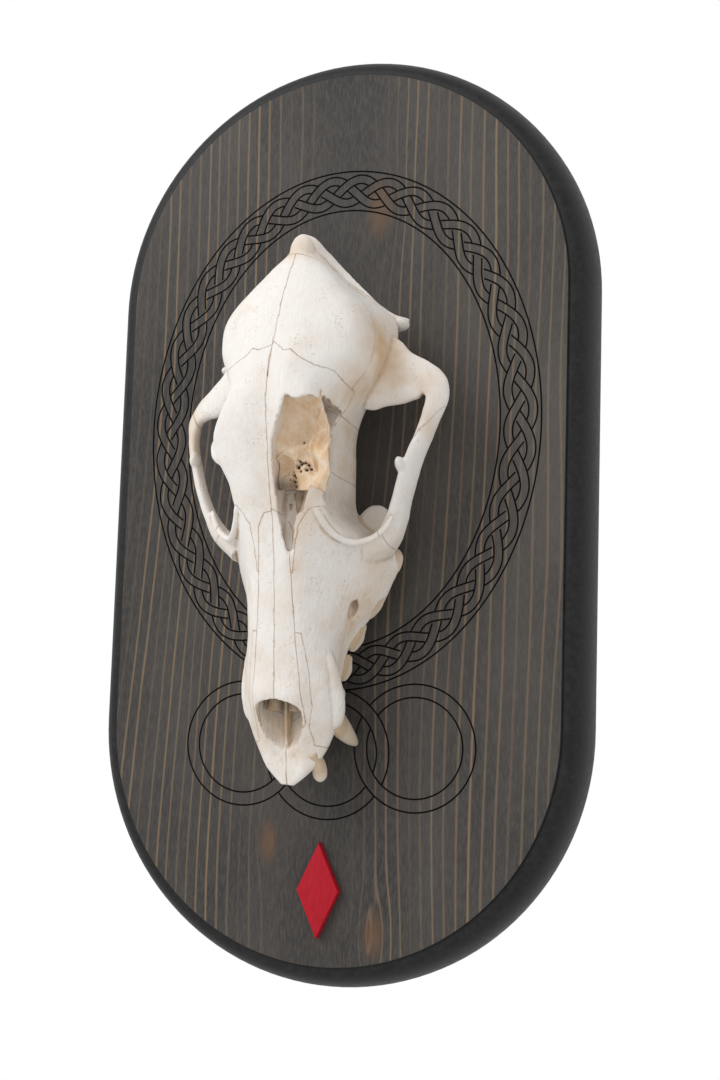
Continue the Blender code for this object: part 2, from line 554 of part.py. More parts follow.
def post(name, place, extra=0.0):
    """A round post from the board's face into the skull, wider and longer by an extra for its hole."""
    end = skull_turn() @ Vector(from_skull(place) * MM) / MM
    turn = np.linspace(0, 2 * np.pi, 20, endpoint=False)
    radius = POST_RADIUS + extra
    start = -PLAQUE_THICKNESS - GAP
    rings = [np.column_stack((end.x + radius * np.cos(turn), np.full(20, y), end.z + radius * np.sin(turn)))
             for y in (start + extra, end.y - extra)]
    return solid(name, np.concatenate(rings), ring_faces(2, 20, flat_ends=True))


def finish(thing, colour, roughness, metallic=0.0):
    """Gives an object its own material and smooth round faces."""
    paint = bpy.data.materials.new(thing.name)
    paint.use_nodes = True
    shader = paint.node_tree.nodes["Principled BSDF"]
    shader.inputs["Base Color"].default_value = (*colour, 1.0)
    shader.inputs["Roughness"].default_value = roughness
    shader.inputs["Metallic"].default_value = metallic
    thing.data.materials.clear()
    thing.data.materials.append(paint)
    thing.data.shade_smooth()
    thing.data.set_sharp_from_angle(angle=math.radians(35))


def main():
    for thing in list(bpy.data.objects):
        bpy.data.objects.remove(thing)
    pose = bpy.data.objects.new("skull_pose", None)
    bpy.context.scene.collection.objects.link(pose)
    pose.matrix_world = skull_turn()
    skull = whole_skull()
    skull.data.transform(skull_turn())
    for name, place in POST_PLACES.items():
        cut(skull, post("hole", place, extra=GAP), "DIFFERENCE")
        finish(post(f"mounting_post_{name}", place), (0.05, 0.05, 0.05), 0.5)
    skull.data.transform(skull_turn().inverted())
    keep_largest(skull)
    for bone in bones(skull):
        bone.parent = pose
        finish(bone, WARM_BONE if bone.name == "sphenoid" else BONE, 0.6)
    finish(plaque(), (0.05, 0.045, 0.04), 0.65)
    finish(lozenge(), (0.55, 0.02, 0.04), 0.5)


main()
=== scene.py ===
# %% [markdown]
# # A coyote skull on an oval wall plaque
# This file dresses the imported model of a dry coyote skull. We go from the camera and the light to the bone, the
# teeth and the board. Every shape is a surface worked out with numpy, and every finish is made of shader nodes.
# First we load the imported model. It is the frame that each new piece has to fit, and its box is the size limit.

# %% The frame
import math

import bmesh
import bpy
import numpy as np
from mathutils import Matrix, Vector, geometry


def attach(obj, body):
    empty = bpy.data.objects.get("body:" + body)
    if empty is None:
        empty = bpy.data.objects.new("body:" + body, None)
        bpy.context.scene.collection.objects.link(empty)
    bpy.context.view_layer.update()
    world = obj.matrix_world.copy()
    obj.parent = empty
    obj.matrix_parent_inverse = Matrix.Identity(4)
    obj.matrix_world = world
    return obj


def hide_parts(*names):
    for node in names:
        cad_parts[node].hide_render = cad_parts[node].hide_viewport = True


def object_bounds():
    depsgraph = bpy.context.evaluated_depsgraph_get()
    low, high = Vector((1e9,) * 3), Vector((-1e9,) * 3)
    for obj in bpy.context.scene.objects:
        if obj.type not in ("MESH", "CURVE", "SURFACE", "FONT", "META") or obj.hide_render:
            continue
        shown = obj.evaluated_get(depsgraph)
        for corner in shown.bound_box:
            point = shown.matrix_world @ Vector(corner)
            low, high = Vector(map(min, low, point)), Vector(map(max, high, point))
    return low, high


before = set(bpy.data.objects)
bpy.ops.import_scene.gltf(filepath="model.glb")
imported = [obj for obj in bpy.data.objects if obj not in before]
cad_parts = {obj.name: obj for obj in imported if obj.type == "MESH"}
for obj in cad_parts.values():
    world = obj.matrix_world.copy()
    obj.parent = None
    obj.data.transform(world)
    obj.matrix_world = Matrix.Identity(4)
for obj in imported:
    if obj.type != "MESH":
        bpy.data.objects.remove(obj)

cad_box = [list(corner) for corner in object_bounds()]
MM = 0.001
scene = bpy.context.scene
print("packed nodes:", sorted(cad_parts))

# %% [markdown]
# ## Camera
# The picture was taken a little from the right of the board and from below, about two thirds of a metre away.
# The place and the lens were worked out from the outline of the board. We aim the camera with its own axes: a
# backward axis, a right axis and an up axis make the columns of its matrix, and a small roll turns the last two.

# %% Camera
CAMERA_PLACE = np.array((0.23247, -0.62199, -0.08880))
CAMERA_AIM = np.array((0.003543, 0.0, -0.010421))
CAMERA_ROLL = 0.031
LENS = 55.8


def look(place, aim, roll):
    """The camera's matrix: its z axis points from the aim to the place, x is level and then rolled."""
    back = (place - aim) / np.linalg.norm(place - aim)
    level = np.cross((0.0, 0.0, 1.0), back)
    level /= np.linalg.norm(level)
    over = np.cross(back, level)
    right = level * math.cos(roll) + over * math.sin(roll)
    up = over * math.cos(roll) - level * math.sin(roll)
    matrix = np.eye(4)
    matrix[:3] = np.column_stack((right, up, back, place))
    return Matrix(matrix)


camera = bpy.data.objects.new("camera", bpy.data.cameras.new("camera"))
scene.collection.objects.link(camera)
camera.data.lens = LENS
camera.data.sensor_width = 36.0
camera.data.clip_start = 0.02
camera.matrix_world = look(CAMERA_PLACE, CAMERA_AIM, CAMERA_ROLL)
scene.camera = camera
print("camera at", CAMERA_PLACE.round(3))

# %% [markdown]
# ## Light and floor
# The object hangs in front of a plain white studio. A white world gives soft light from all round. It looks fully
# white to the camera but shines a little less, so that pale bone doesn't burn out in front of it. One large lamp
# high on the left is the window, and it gives bone its gentle shade. The pale floor lies well below the board,
# since the board hangs at eye level.

# %% Light and floor
FLOOR_DROP = -1.0
FLOOR_HALF = 1.7
WINDOW_WATTS = 10.5
AMBIENT = 0.84
BACKDROP = 1.0


def area_lamp(name, place, aim, size, power, colour=(1.0, 1.0, 1.0)):
    """A square soft lamp at a place that points at an aim."""
    lamp = bpy.data.lights.new(name, "AREA")
    lamp.shape = "SQUARE"
    lamp.size = size
    lamp.energy = power
    lamp.color = colour
    thing = bpy.data.objects.new(name, lamp)
    scene.collection.objects.link(thing)
    thing.matrix_world = look(np.array(place, float), np.array(aim, float), 0.0)
    return thing


area_lamp("window", (-0.75, -1.1, 0.85), (0.0, 0.0, 0.0), 0.8, WINDOW_WATTS)
world = bpy.data.worlds.new("studio")
scene.world = world
world.use_nodes = True
sky = world.node_tree
rays = sky.nodes.new("ShaderNodeLightPath")
level = sky.nodes.new("ShaderNodeMapRange")
level.inputs["To Min"].default_value = AMBIENT
level.inputs["To Max"].default_value = BACKDROP
sky.nodes["Background"].inputs["Color"].default_value = (1.0, 1.0, 1.0, 1.0)
sky.links.new(rays.outputs["Is Camera Ray"], level.inputs["Value"])
sky.links.new(level.outputs["Result"], sky.nodes["Background"].inputs["Strength"])
scene.view_settings.view_transform = "Standard"

floor_mesh = bpy.data.meshes.new("floor")
floor_corners = [(-FLOOR_HALF, -FLOOR_HALF, FLOOR_DROP), (FLOOR_HALF, -FLOOR_HALF, FLOOR_DROP),
                 (FLOOR_HALF, FLOOR_HALF, FLOOR_DROP), (-FLOOR_HALF, FLOOR_HALF, FLOOR_DROP)]
floor_mesh.from_pydata(floor_corners, [], [(0, 1, 2, 3)])
floor = bpy.data.objects.new("floor", floor_mesh)
scene.collection.objects.link(floor)

# %% [markdown]
# ## Nodes in few words
# A material is a small graph. These helpers make a node, set its sockets and link it, so that each finish further
# down reads as a short list of steps. A value that is a node's output is linked, and a plain number is set.

# %% Material helpers
def new_paint(name):
    """An empty material with its shader, as (material, tree, shader)."""
    paint = bpy.data.materials.new(name)
    paint.use_nodes = True
    return paint, paint.node_tree, paint.node_tree.nodes["Principled BSDF"]


def node(tree, kind, sockets=None, **settings):
    """Adds a node, applies its settings, and sets or links its input sockets."""
    made = tree.nodes.new(kind)
    for key, value in settings.items():
        setattr(made, key, value)
    for key, value in (sockets or {}).items():
        if isinstance(value, bpy.types.NodeSocket):
            tree.links.new(value, made.inputs[key])
        else:
            made.inputs[key].default_value = value
    return made


def attribute(tree, name):
    """The value that each vertex of the piece carries under a name."""
    return node(tree, "ShaderNodeAttribute", attribute_name=name).outputs["Fac"]


def mix(tree, factor, first, second, blend="MIX"):
    """A colour between two, or the first changed by the second in another way."""
    made = tree.nodes.new("ShaderNodeMix")
    made.data_type = "RGBA"
    made.blend_type = blend
    for socket, value in ((made.inputs[0], factor), (made.inputs[6], first), (made.inputs[7], second)):
        if isinstance(value, bpy.types.NodeSocket):
            tree.links.new(value, socket)
        elif isinstance(value, (int, float)):
            socket.default_value = value
        else:
            socket.default_value = (*value, 1.0)
    return made.outputs[2]


def curve(tree, value, low, high, low_to=0.0, high_to=1.0):
    """A value stretched from one range to another and held inside it."""
    sockets = {"Value": value, "From Min": low, "From Max": high, "To Min": low_to, "To Max": high_to}
    return node(tree, "ShaderNodeMapRange", sockets).outputs["Result"]


def maths(tree, operation, first, second):
    return node(tree, "ShaderNodeMath", {0: first, 1: second}, operation=operation).outputs[0]


def noise(tree, where, scale, detail=4.0, roughness=0.5, distortion=0.0):
    sockets = {"Vector": where, "Scale": scale, "Detail": detail, "Roughness": roughness, "Distortion": distortion}
    return node(tree, "ShaderNodeTexNoise", sockets).outputs["Fac"]


def stretched(tree, scale, turn=(0.0, 0.0, 0.0)):
    """Object coordinates turned and then stretched, for patterns that run along one way."""
    where = node(tree, "ShaderNodeTexCoord").outputs["Object"]
    turned = node(tree, "ShaderNodeMapping", {"Vector": where, "Rotation": turn}).outputs["Vector"]
    return node(tree, "ShaderNodeMapping", {"Vector": turned, "Scale": scale}).outputs["Vector"]


def bump(tree, height, distance, strength=1.0, below=None):
    sockets = {"Height": height, "Distance": distance, "Strength": strength}
    if below is not None:
        sockets["Normal"] = below
    return node(tree, "ShaderNodeBump", sockets).outputs["Normal"]


floor_paint, floor_tree, floor_shader = new_paint("pale_floor")
floor_shader.inputs["Base Color"].default_value = (0.83, 0.83, 0.82, 1.0)
floor_shader.inputs["Roughness"].default_value = 0.8
floor_mesh.materials.append(floor_paint)
print("material helpers ready")

# %% [markdown]
# ## The skull's own axes
# A skull is easiest to describe along itself: lateral is the distance from the midline, rostral runs from the
# back of the head to the front teeth, and height is measured up from the tooth sockets. All the skull's numbers are
# in millimetres on these axes. One function lays them on the board, and its inverse brings a vertex back, which
# lets us colour the finished mesh by anatomy.

# %% Skull axes
PIVOT = np.array((0.0, 100.0, 30.0))
PLACE = np.array((-2.0, -57.3, -6.6))
TILT, TURN, ROLL = np.radians((-7.0, 2.4, -1.5))


def spin(angle, axis):
    """The matrix that turns by an angle about x, y or z."""
    c, s = math.cos(angle), math.sin(angle)
    i, j = ((1, 2), (2, 0), (0, 1))[axis]
    matrix = np.eye(3)
    matrix[i, i] = matrix[j, j] = c
    matrix[i, j], matrix[j, i] = -s, s
    return matrix


UPRIGHT = np.array(((1.0, 0.0, 0.0), (0.0, 0.0, -1.0), (0.0, -1.0, 0.0)))
LAY = spin(ROLL, 2) @ spin(TURN, 1) @ spin(TILT, 0) @ UPRIGHT


def lay(points):
    """Skull places in millimetres to the row frame in metres: move the pivot to zero, turn, and move out."""
    return ((np.asarray(points, float) - PIVOT) @ LAY.T + PLACE) * MM


def unlay(points):
    """The way back, from the row frame in metres to skull places in millimetres."""
    return (np.asarray(points, float) / MM - PLACE) @ LAY + PIVOT


print("tip of the snout lies at", lay((0.0, 198.0, 5.0)).round(4))

# %% [markdown]
# ## Curves, tubes and solids
# Three tools make nearly all of the skull. A smooth curve goes through given rows of numbers, a tube is a row of
# rings along a path, and a solid puts corners and faces into a mesh. We turn a solid's faces outwards by the sign
# of its volume, because a Boolean has to know which side is full.

# %% Shape helpers
def through(rows, places):
    """Smooth values at the places: a cubic between each pair of rows, with a slope shared by both sides."""
    rows = np.asarray(rows, float)
    at, values = rows[:, 0], rows[:, 1:]
    span = np.diff(at)[:, None]
    slope = np.diff(values, axis=0) / span
    tangent = np.empty_like(values)
    tangent[0], tangent[-1] = slope[0], slope[-1]
    tangent[1:-1] = (slope[:-1] * span[1:] + slope[1:] * span[:-1]) / (span[:-1] + span[1:])
    places = np.asarray(places, float)
    i = np.clip(np.searchsorted(at, places) - 1, 0, len(at) - 2)
    t = ((places - at[i]) / (at[i + 1] - at[i]))[:, None]
    h = span[i]
    return ((2 * t**3 - 3 * t**2 + 1) * values[i] + (t**3 - 2 * t**2 + t) * h * tangent[i]
            + (3 * t**2 - 2 * t**3) * values[i + 1] + (t**3 - t**2) * h * tangent[i + 1])


def along(rows, count):
    """Rows without a place of their own, resampled smoothly at evenly spaced steps."""
    rows = np.asarray(rows, float)
    step = np.arange(len(rows))
    return through(np.column_stack((step, rows)), np.linspace(0, step[-1], count))


def volume(mesh):
    """Six times the volume inside a closed mesh, as the sum of the triple products of its triangles."""
    mesh.calc_loop_triangles()
    corners = np.empty(len(mesh.loop_triangles) * 3, np.int32)
    mesh.loop_triangles.foreach_get("vertices", corners)
    a, b, c = coordinates(mesh)[corners.reshape(-1, 3)].transpose(1, 0, 2)
    return float(np.sum(a * np.cross(b, c)))


def coordinates(mesh):
    """All vertices of a mesh as an array of rows."""
    flat = np.empty(len(mesh.vertices) * 3, np.float32)
    mesh.vertices.foreach_get("co", flat)
    return flat.reshape(-1, 3).astype(float)


def thing_of(name, corners, faces):
    """An object of corners in metres and faces, turned so that its faces point outwards."""
    mesh = bpy.data.meshes.new(name)
    mesh.from_pydata(np.asarray(corners, float).tolist(), [], [tuple(face) for face in faces])
    mesh.update()
    if volume(mesh) < 0:
        mesh.flip_normals()
    thing = bpy.data.objects.new(name, mesh)
    scene.collection.objects.link(thing)
    return thing


def face_outwards(mesh):
    """Turns the faces of each closed shell in a mesh outwards."""
    turned = bmesh.new()
    turned.from_mesh(mesh)
    bmesh.ops.recalc_face_normals(turned, faces=turned.faces)
    turned.to_mesh(mesh)
    turned.free()


def tube_faces(rings, around):
    """Quads between neighbouring rings, and a fan at each end to a last two corners that close the tube."""
    r, k = np.meshgrid(np.arange(rings - 1), np.arange(around), indexing="ij")
    a = (r * around + k).ravel()
    b = (r * around + (k + 1) % around).ravel()
    quads = np.column_stack((a, b, b + around, a + around)).tolist()
    k = np.arange(around)
    after = (k + 1) % around
    last = (rings - 1) * around
    start = np.column_stack((after, k, np.full(around, rings * around))).tolist()
    end = np.column_stack((last + k, last + after, np.full(around, rings * around + 1))).tolist()
    return quads + start + end


def tube(name, rings):
    """A closed tube through rings of skull places, each end closed at the middle of its ring."""
    rings = np.asarray(rings, float)
    ends = np.stack((rings[0].mean(axis=0), rings[-1].mean(axis=0)))
    corners = np.concatenate((rings.reshape(-1, 3), ends))
    return thing_of(name, lay(corners), tube_faces(*rings.shape[:2]))


def ovals(middles, long_ways, short_ways, around):
    """Rings: middle + cos(turn) x long way + sin(turn) x short way."""
    turn = np.linspace(0, 2 * np.pi, around, endpoint=False)[None, :, None]
    return middles[:, None] + np.cos(turn) * long_ways[:, None] + np.sin(turn) * short_ways[:, None]


def mirrored(rows, side):
    """Rows whose first value is lateral, on the animal's left for 1 and on its right for -1."""
    rows = np.array(rows, float)
    rows[..., 0] *= side
    return rows


def rod(name, path, radius, side=1, count=60, around=16, flatten=1.0):
    """A rod along a path of lateral, rostral and height, with a radius for each row, rounded off at its ends."""
    keys = np.column_stack((np.asarray(path, float), np.broadcast_to(radius, len(path))))
    rows = along(keys, count)
    middles, half = rows[:, :3], rows[:, 3:4]
    run = np.linspace(0, 1, count)[:, None]
    half = half * np.sqrt(np.clip(1 - np.abs(2 * run - 1) ** 8, 0.0025, 1))
    forward = np.gradient(middles, axis=0)
    forward /= np.linalg.norm(forward, axis=1)[:, None]
    aside = np.cross(forward, np.array((0.0, 0.0, 1.0)))
    aside /= np.linalg.norm(aside, axis=1)[:, None] + 1e-9
    above = np.cross(aside, forward)
    return tube(name, mirrored(ovals(middles, aside * half, above * half * flatten, around), side))


def lump(name, middle, half_sizes, side=1, rings=22, around=36, lean=0.0):
    """An ellipsoid: middle + half sizes x a unit sphere, leaned about the lateral axis by some degrees."""
    angle = np.linspace(0, np.pi, rings + 2)[1:-1]
    turn = np.linspace(0, 2 * np.pi, around, endpoint=False)
    unit = np.stack((np.sin(angle)[:, None] * np.cos(turn), np.repeat(-np.cos(angle)[:, None], around, 1),
                     np.sin(angle)[:, None] * np.sin(turn)), axis=-1)
    poles = np.array(((0.0, -1.0, 0.0), (0.0, 1.0, 0.0)))
    points = np.concatenate((unit.reshape(-1, 3), poles)) * np.array(half_sizes)
    points = points @ spin(math.radians(lean), 0).T + np.array(middle)
    return thing_of(name, lay(mirrored(points, side)), tube_faces(rings, around))


def prism(name, outline, low, high, side=1, grow=0.0):
    """An upright block over an outline seen from above, grown outwards by a margin on its sides and floor.

    Each outline row is lateral and rostral, and may end in the height where the block ends below."""
    plan = np.array([row[:2] for row in outline], float)
    floors = np.array([row[2] if len(row) > 2 else low for row in outline], float)
    before, after = np.roll(plan, 1, 0), np.roll(plan, -1, 0)
    area = np.sum(plan[:, 0] * after[:, 1] - after[:, 0] * plan[:, 1])
    into, out = plan - before, after - plan
    into /= np.linalg.norm(into, axis=1)[:, None]
    out /= np.linalg.norm(out, axis=1)[:, None]
    first = np.stack((into[:, 1], -into[:, 0]), 1) * np.sign(area)
    second = np.stack((out[:, 1], -out[:, 0]), 1) * np.sign(area)
    mitre = (first + second) / np.maximum(1 + np.sum(first * second, 1), 0.4)[:, None]
    plan = plan + grow * mitre
    count = len(plan)
    bottom = np.column_stack((plan, floors - grow))
    top = np.column_stack((plan, np.full(count, float(high))))
    flat = [tuple(face) for face in geometry.tessellate_polygon([[Vector((*p, 0.0)) for p in plan]])]
    k = np.arange(count)
    n = (k + 1) % count
    walls = np.concatenate((np.column_stack((k, n, n + count)), np.column_stack((k, n + count, k + count))))
    lid = [tuple(i + count for i in face) for face in flat]
    made = thing_of(name, lay(mirrored(np.concatenate((bottom, top)), side)), flat + lid + walls.tolist())
    face_outwards(made.data)
    return made


def settle(thing):
    """Puts what the object's modifiers make into its mesh."""
    graph = bpy.context.evaluated_depsgraph_get()
    mesh = bpy.data.meshes.new_from_object(thing.evaluated_get(graph))
    thing.modifiers.clear()
    thing.data = mesh


def combine(thing, others, operation):
    """One Boolean of an object with all the others, which are then removed."""
    group = bpy.data.collections.new("operands")
    scene.collection.children.link(group)
    for other in others:
        group.objects.link(other)
        scene.collection.objects.unlink(other)
    step = thing.modifiers.new(operation.lower(), "BOOLEAN")
    step.operation = operation
    step.operand_type = "COLLECTION"
    step.collection = group
    step.solver = "MANIFOLD"
    settle(thing)
    for other in others:
        bpy.data.objects.remove(other)
    bpy.data.collections.remove(group)


def wander(points, size, seed=0):
    """Smooth random values from -1 to 1: hashed values on the corners of a grid, blended inside each cell."""
    spot = np.asarray(points, float) / size + 31.7 * (seed + 1)
    cell = np.floor(spot).astype(np.int64)
    part = spot - cell
    part = part * part * (3 - 2 * part)
    total = np.zeros(len(spot))
    for corner in np.ndindex(2, 2, 2):
        i, j, k = (cell + np.array(corner)).T
        mixed = (i * 73856093) ^ (j * 19349663) ^ (k * 83492791)
        mixed = (mixed * 1103515245 + 12345) & 0x7FFFFFFF
        mixed = ((mixed >> 11) * 2246822519 + mixed) & 0x7FFFFFFF
        weight = np.prod(np.where(corner, part, 1 - part), axis=1)
        total += weight * (mixed / 0x7FFFFFFF)
    return 2 * total - 1


print("shape helpers ready")

# %% [markdown]
# ## The lines of the brain case and the snout
# Seven lines run along each side of the skull, from the crest down to the palate. At any place along the skull
# they give seven points, a closed curve goes through them and their mirror images, and the row of these curves is
# the core. It is a loft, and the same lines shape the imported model, which keeps both the same size.

# %% Skull lines
ROOF = ((1.5, 0, 53), (8, 0, 55), (20, 0, 59.5), (34, 0, 63), (47, 0, 65), (60, 0, 66), (70, 0, 64.3),
        (80, 0, 60.5), (88, 0, 57), (97, 0, 52.5), (106, 0, 47.7), (116, 0, 43.2), (125, 0, 40),
        (145, 0, 33.5), (160, 0, 28.8), (170, 0, 25.7), (177, 0, 20), (186, 0, 10), (194, 0, 7.2),
        (198, 0, 5.2))
CROWN = ((1.5, 2, 52), (8, 3, 54), (13, 5, 56), (20, 9, 57.5), (34, 12.5, 61), (47, 11.5, 63.5), (60, 9, 65.8),
         (70, 10, 65.2), (80, 12, 62), (88, 11, 57.8), (97, 10, 52.8), (106, 9, 47), (116, 8, 42.3),
         (125, 7, 38.8), (145, 6, 32.5), (160, 6, 28), (170, 6.3, 25), (177, 6, 19), (186, 5, 10.2),
         (194, 3.5, 7), (198, 1.2, 5.2))
TEMPLE = ((1.5, 3, 50.5), (8, 6, 49), (13, 10.5, 50), (20, 16.5, 51), (27, 22, 52), (34, 25, 53.5),
          (47, 24.5, 55), (56, 20, 57.5), (62, 17, 60), (68, 18, 60.5), (74, 21.2, 58), (80, 24.2, 53.5),
          (83, 24.4, 51.5), (88, 22.2, 50.5), (94, 19.2, 47.5), (100, 17.8, 44.5), (106, 17, 41),
          (116, 14.5, 36.5), (125, 12.3, 34.5), (145, 10.8, 29.5), (160, 10.8, 25), (170, 11, 21.5),
          (177, 10.5, 16), (186, 8, 10), (194, 5.5, 6.8), (198, 2, 5))
WALL = ((1.5, 3, 49), (8, 7.5, 41), (13, 13, 36), (20, 21, 36), (27, 26.5, 37), (34, 29, 38), (47, 28.5, 40),
        (56, 24.5, 41), (63, 20.5, 41), (70, 17, 40), (80, 15.5, 38), (90, 15, 34), (98, 15, 31), (104, 19, 29),
        (109, 24.5, 24), (116, 24, 21), (125, 20.5, 20.5), (135, 18, 20), (145, 16.5, 19), (155, 16.5, 18),
        (165, 17, 15), (174, 16.8, 11), (181, 15, 7.5), (188, 11.5, 6), (194, 7, 5.5), (198, 2.5, 4.6))
LOWER = ((1.5, 2.5, 47.5), (8, 6.5, 34), (13, 12.5, 23), (20, 26, 20), (27, 29.5, 20.5), (34, 29.5, 21),
         (47, 26, 21.5), (56, 21.5, 21.5), (64, 18.5, 20.5), (72, 17.5, 19), (80, 17.5, 17), (88, 16.5, 12),
         (94, 15.5, 6), (99, 19.5, 3.5), (104, 27.5, 2), (112, 32.6, 1), (120, 30.8, 0.5), (128, 27.0, 0.5),
         (136, 22.0, 0.8), (144, 17.2, 1.2), (155, 15.4, 1.5), (165, 15.4, 2), (174, 16, 3), (181, 14, 2.8),
         (188, 10.5, 2.5), (194, 6.3, 3), (198, 2, 3.8))
PALATE_EDGE = ((1.5, 1.5, 46.8), (8, 4, 30), (13, 8.5, 17), (20, 15, 13.5), (47, 13, 15), (56, 10, 16.5),
               (64, 9.5, 16), (80, 9.5, 14.5), (88, 9.5, 11), (93, 10.5, 6.5), (98, 13.5, 4), (104, 20, 4),
               (112, 22.5, 4), (128, 17, 4.5), (144, 11, 4.8), (165, 10, 5), (181, 8, 4.8), (194, 3, 4.2),
               (198, 0.8, 4.3))
FLOOR = ((1.5, 0, 46.5), (8, 0, 28.5), (13, 0, 15.5), (20, 0, 13), (47, 0, 14.5), (64, 0, 17), (88, 0, 17.5),
         (93, 0, 12), (98, 0, 5), (104, 0, 4.8), (128, 0, 5.2), (165, 0, 5.4), (194, 0, 4.6), (198, 0, 4.4))
SECTION_LINES = (ROOF, CROWN, TEMPLE, WALL, LOWER, PALATE_EDGE, FLOOR)


def core(sections=170, around=120):
    """The loft: at each rostral place a smooth closed curve through the seven lines and their mirror images."""
    places = np.linspace(1.5, 198.0, sections)
    lines = np.stack([through(rows, places) for rows in SECTION_LINES])
    loop = np.concatenate((lines, lines[-2:0:-1] * np.array((-1.0, 1.0))))
    padded = np.concatenate((loop[-2:], loop, loop[:3]))
    rows = np.column_stack((np.arange(-2, len(loop) + 3), padded.reshape(len(padded), -1)))
    steps = np.linspace(0, len(loop), around, endpoint=False)
    curves = through(rows, steps).reshape(around, sections, 2)
    rings = np.stack((curves[..., 0].T, np.repeat(places[:, None], around, 1), curves[..., 1].T), axis=-1)
    return tube("core", rings)


def roof_height(lateral, rostral):
    """Height of the skull's top at a place: the section's upper lines, joined across."""
    lateral, rostral = np.atleast_1d(lateral).astype(float), np.atleast_1d(rostral).astype(float)
    top = through(ROOF, rostral)[:, 1]
    crown, temple = through(CROWN, rostral), through(TEMPLE, rostral)
    near = np.clip(np.abs(lateral) / crown[:, 0], 0, 1)
    far = np.clip((np.abs(lateral) - crown[:, 0]) / (temple[:, 0] - crown[:, 0]), 0, None)
    return top + (crown[:, 1] - top) * near + (temple[:, 1] - crown[:, 1]) * np.minimum(far, 1.6)


skull = core()
print("core:", len(skull.data.vertices), "corners")

# %% [markdown]
# ## Cheek arches, crest and knobs
# A cheek arch is a flattened bar that lies flat where it leaves the temple and stands on edge beside the eye. It is
# a tube of ovals whose long way leans from flat to upright. The thin crest round the back of the head is a second
# such tube, and the knobs of the ear, the neck joint and the jaw joint are ellipsoids.

# %% Arches, crest and knobs
ARCHES = {
    "left": ((20, 45, 27, 14, 5.0, 90), (28, 45.5, 26, 14.5, 4.4, 90), (35, 46.8, 25, 10.8, 3.8, 90),
             (41.5, 47.6, 24.3, 8.3, 3.4, 86), (46.8, 49.4, 23.8, 6.2, 3.0, 68), (48.9, 54, 23.4, 4.8, 2.6, 42),
             (47.4, 61, 23.2, 4.6, 2.2, 22), (45.2, 68.5, 22.6, 5.0, 2.0, 14), (42.4, 76, 22.2, 5.8, 1.9, 10),
             (40.0, 84, 20.8, 6.2, 2.0, 10), (37.6, 92, 18.4, 6.2, 2.2, 10), (35.2, 100, 15.8, 6.8, 2.6, 10),
             (31, 107, 13.6, 8.0, 3.6, 8), (24, 112, 12.6, 9.0, 4.5, 0)),
    "right": ((20, 47, 27, 14, 5.0, 90), (28, 49, 26, 12, 4.4, 90), (34, 52.5, 25, 8.5, 3.8, 90),
              (40, 56, 24.3, 6.8, 3.4, 80), (45, 59.2, 23.8, 5.6, 3.0, 62), (48.4, 63.6, 23.4, 4.8, 2.6, 40),
              (48.8, 69.5, 23, 4.7, 2.2, 22), (47.9, 76, 22.4, 5.2, 2.0, 16), (46, 83, 21.4, 6.0, 2.0, 14),
              (43.6, 91, 19.6, 6.4, 2.1, 14), (40.4, 99, 17.4, 6.6, 2.4, 12), (35.5, 106.5, 14.6, 7.6, 3.4, 10),
              (27, 112.5, 12.6, 9.0, 4.5, 0)),
}
NUCHAL_CREST = ((31.5, 21.3, 17.5), (27.0, 21.3, 23), (22.0, 18.8, 28.5), (16.5, 14.0, 32.5), (11.0, 9.0, 37),
                (6.5, 4.6, 43.5), (3.0, 1.6, 50))
CREST_HUB = (0.0, 34.0, 36.0)
KNOBS = {
    "mastoid": ((27.9, 22.8, 17.5), (4.4, 2.6, 5.0)),
    "ear_process": ((19.5, 24.0, 11.8), (4.2, 3.6, 7.2)),
    "bulla": ((14.5, 33.0, 9.6), (8.3, 12.5, 8.2)),
    "condyle": ((10.5, 17.5, 17.5), (6.3, 5.5, 7.5)),
    "jaw_socket_lip": ((34.0, 42.0, 19.5), (8.5, 2.6, 6.0)),
    "throat_hook": ((7.6, 72.5, 10.0), (1.4, 4.2, 7.5)),
    "socket_floor": ((22.8, 101.0, 4.3), (8.0, 10.5, 4.2)),
}
PEAK = ((0.0, 7.0, 50.5), (4.6, 7.4, 4.4))
CANINE_ROOT = ((15.6, 176.0, 5.0, 4.0), (16.0, 166.0, 9.5, 4.6), (14.6, 155.0, 15.5, 3.8), (12.8, 147.0, 20.0, 2.6))
ORBIT_RIM = ((13.6, 99.5, 46.5), (15.6, 103.0, 44.5), (17.6, 107.0, 40.0), (20.9, 110.4, 34.5), (24.4, 111.0, 29.5),
             (27.8, 109.8, 26.5), (31.4, 107.4, 24.8), (34.6, 103.6, 23.8), (36.8, 98.5, 23.2))
ORBIT_RIM_RADIUS = 1.25


def arch(side_name, side):
    """Ovals carried along the arch; the long way is a mix of upright and level, by the lean angle."""
    rows = along(ARCHES[side_name], 110)
    middles, half_long, half_short, lean = rows[:, :3], rows[:, 3:4], rows[:, 4:5], np.radians(rows[:, 5:6])
    forward = np.gradient(middles, axis=0)
    forward /= np.linalg.norm(forward, axis=1)[:, None]
    level = np.cross(np.array((0.0, 0.0, 1.0)), forward)
    level /= np.linalg.norm(level, axis=1)[:, None]
    upright = np.cross(forward, level)
    long_way = (np.cos(lean) * upright + np.sin(lean) * level) * half_long
    short_way = (np.cos(lean) * level - np.sin(lean) * upright) * half_short
    return tube("arch", mirrored(ovals(middles, long_way, short_way, 32), side))


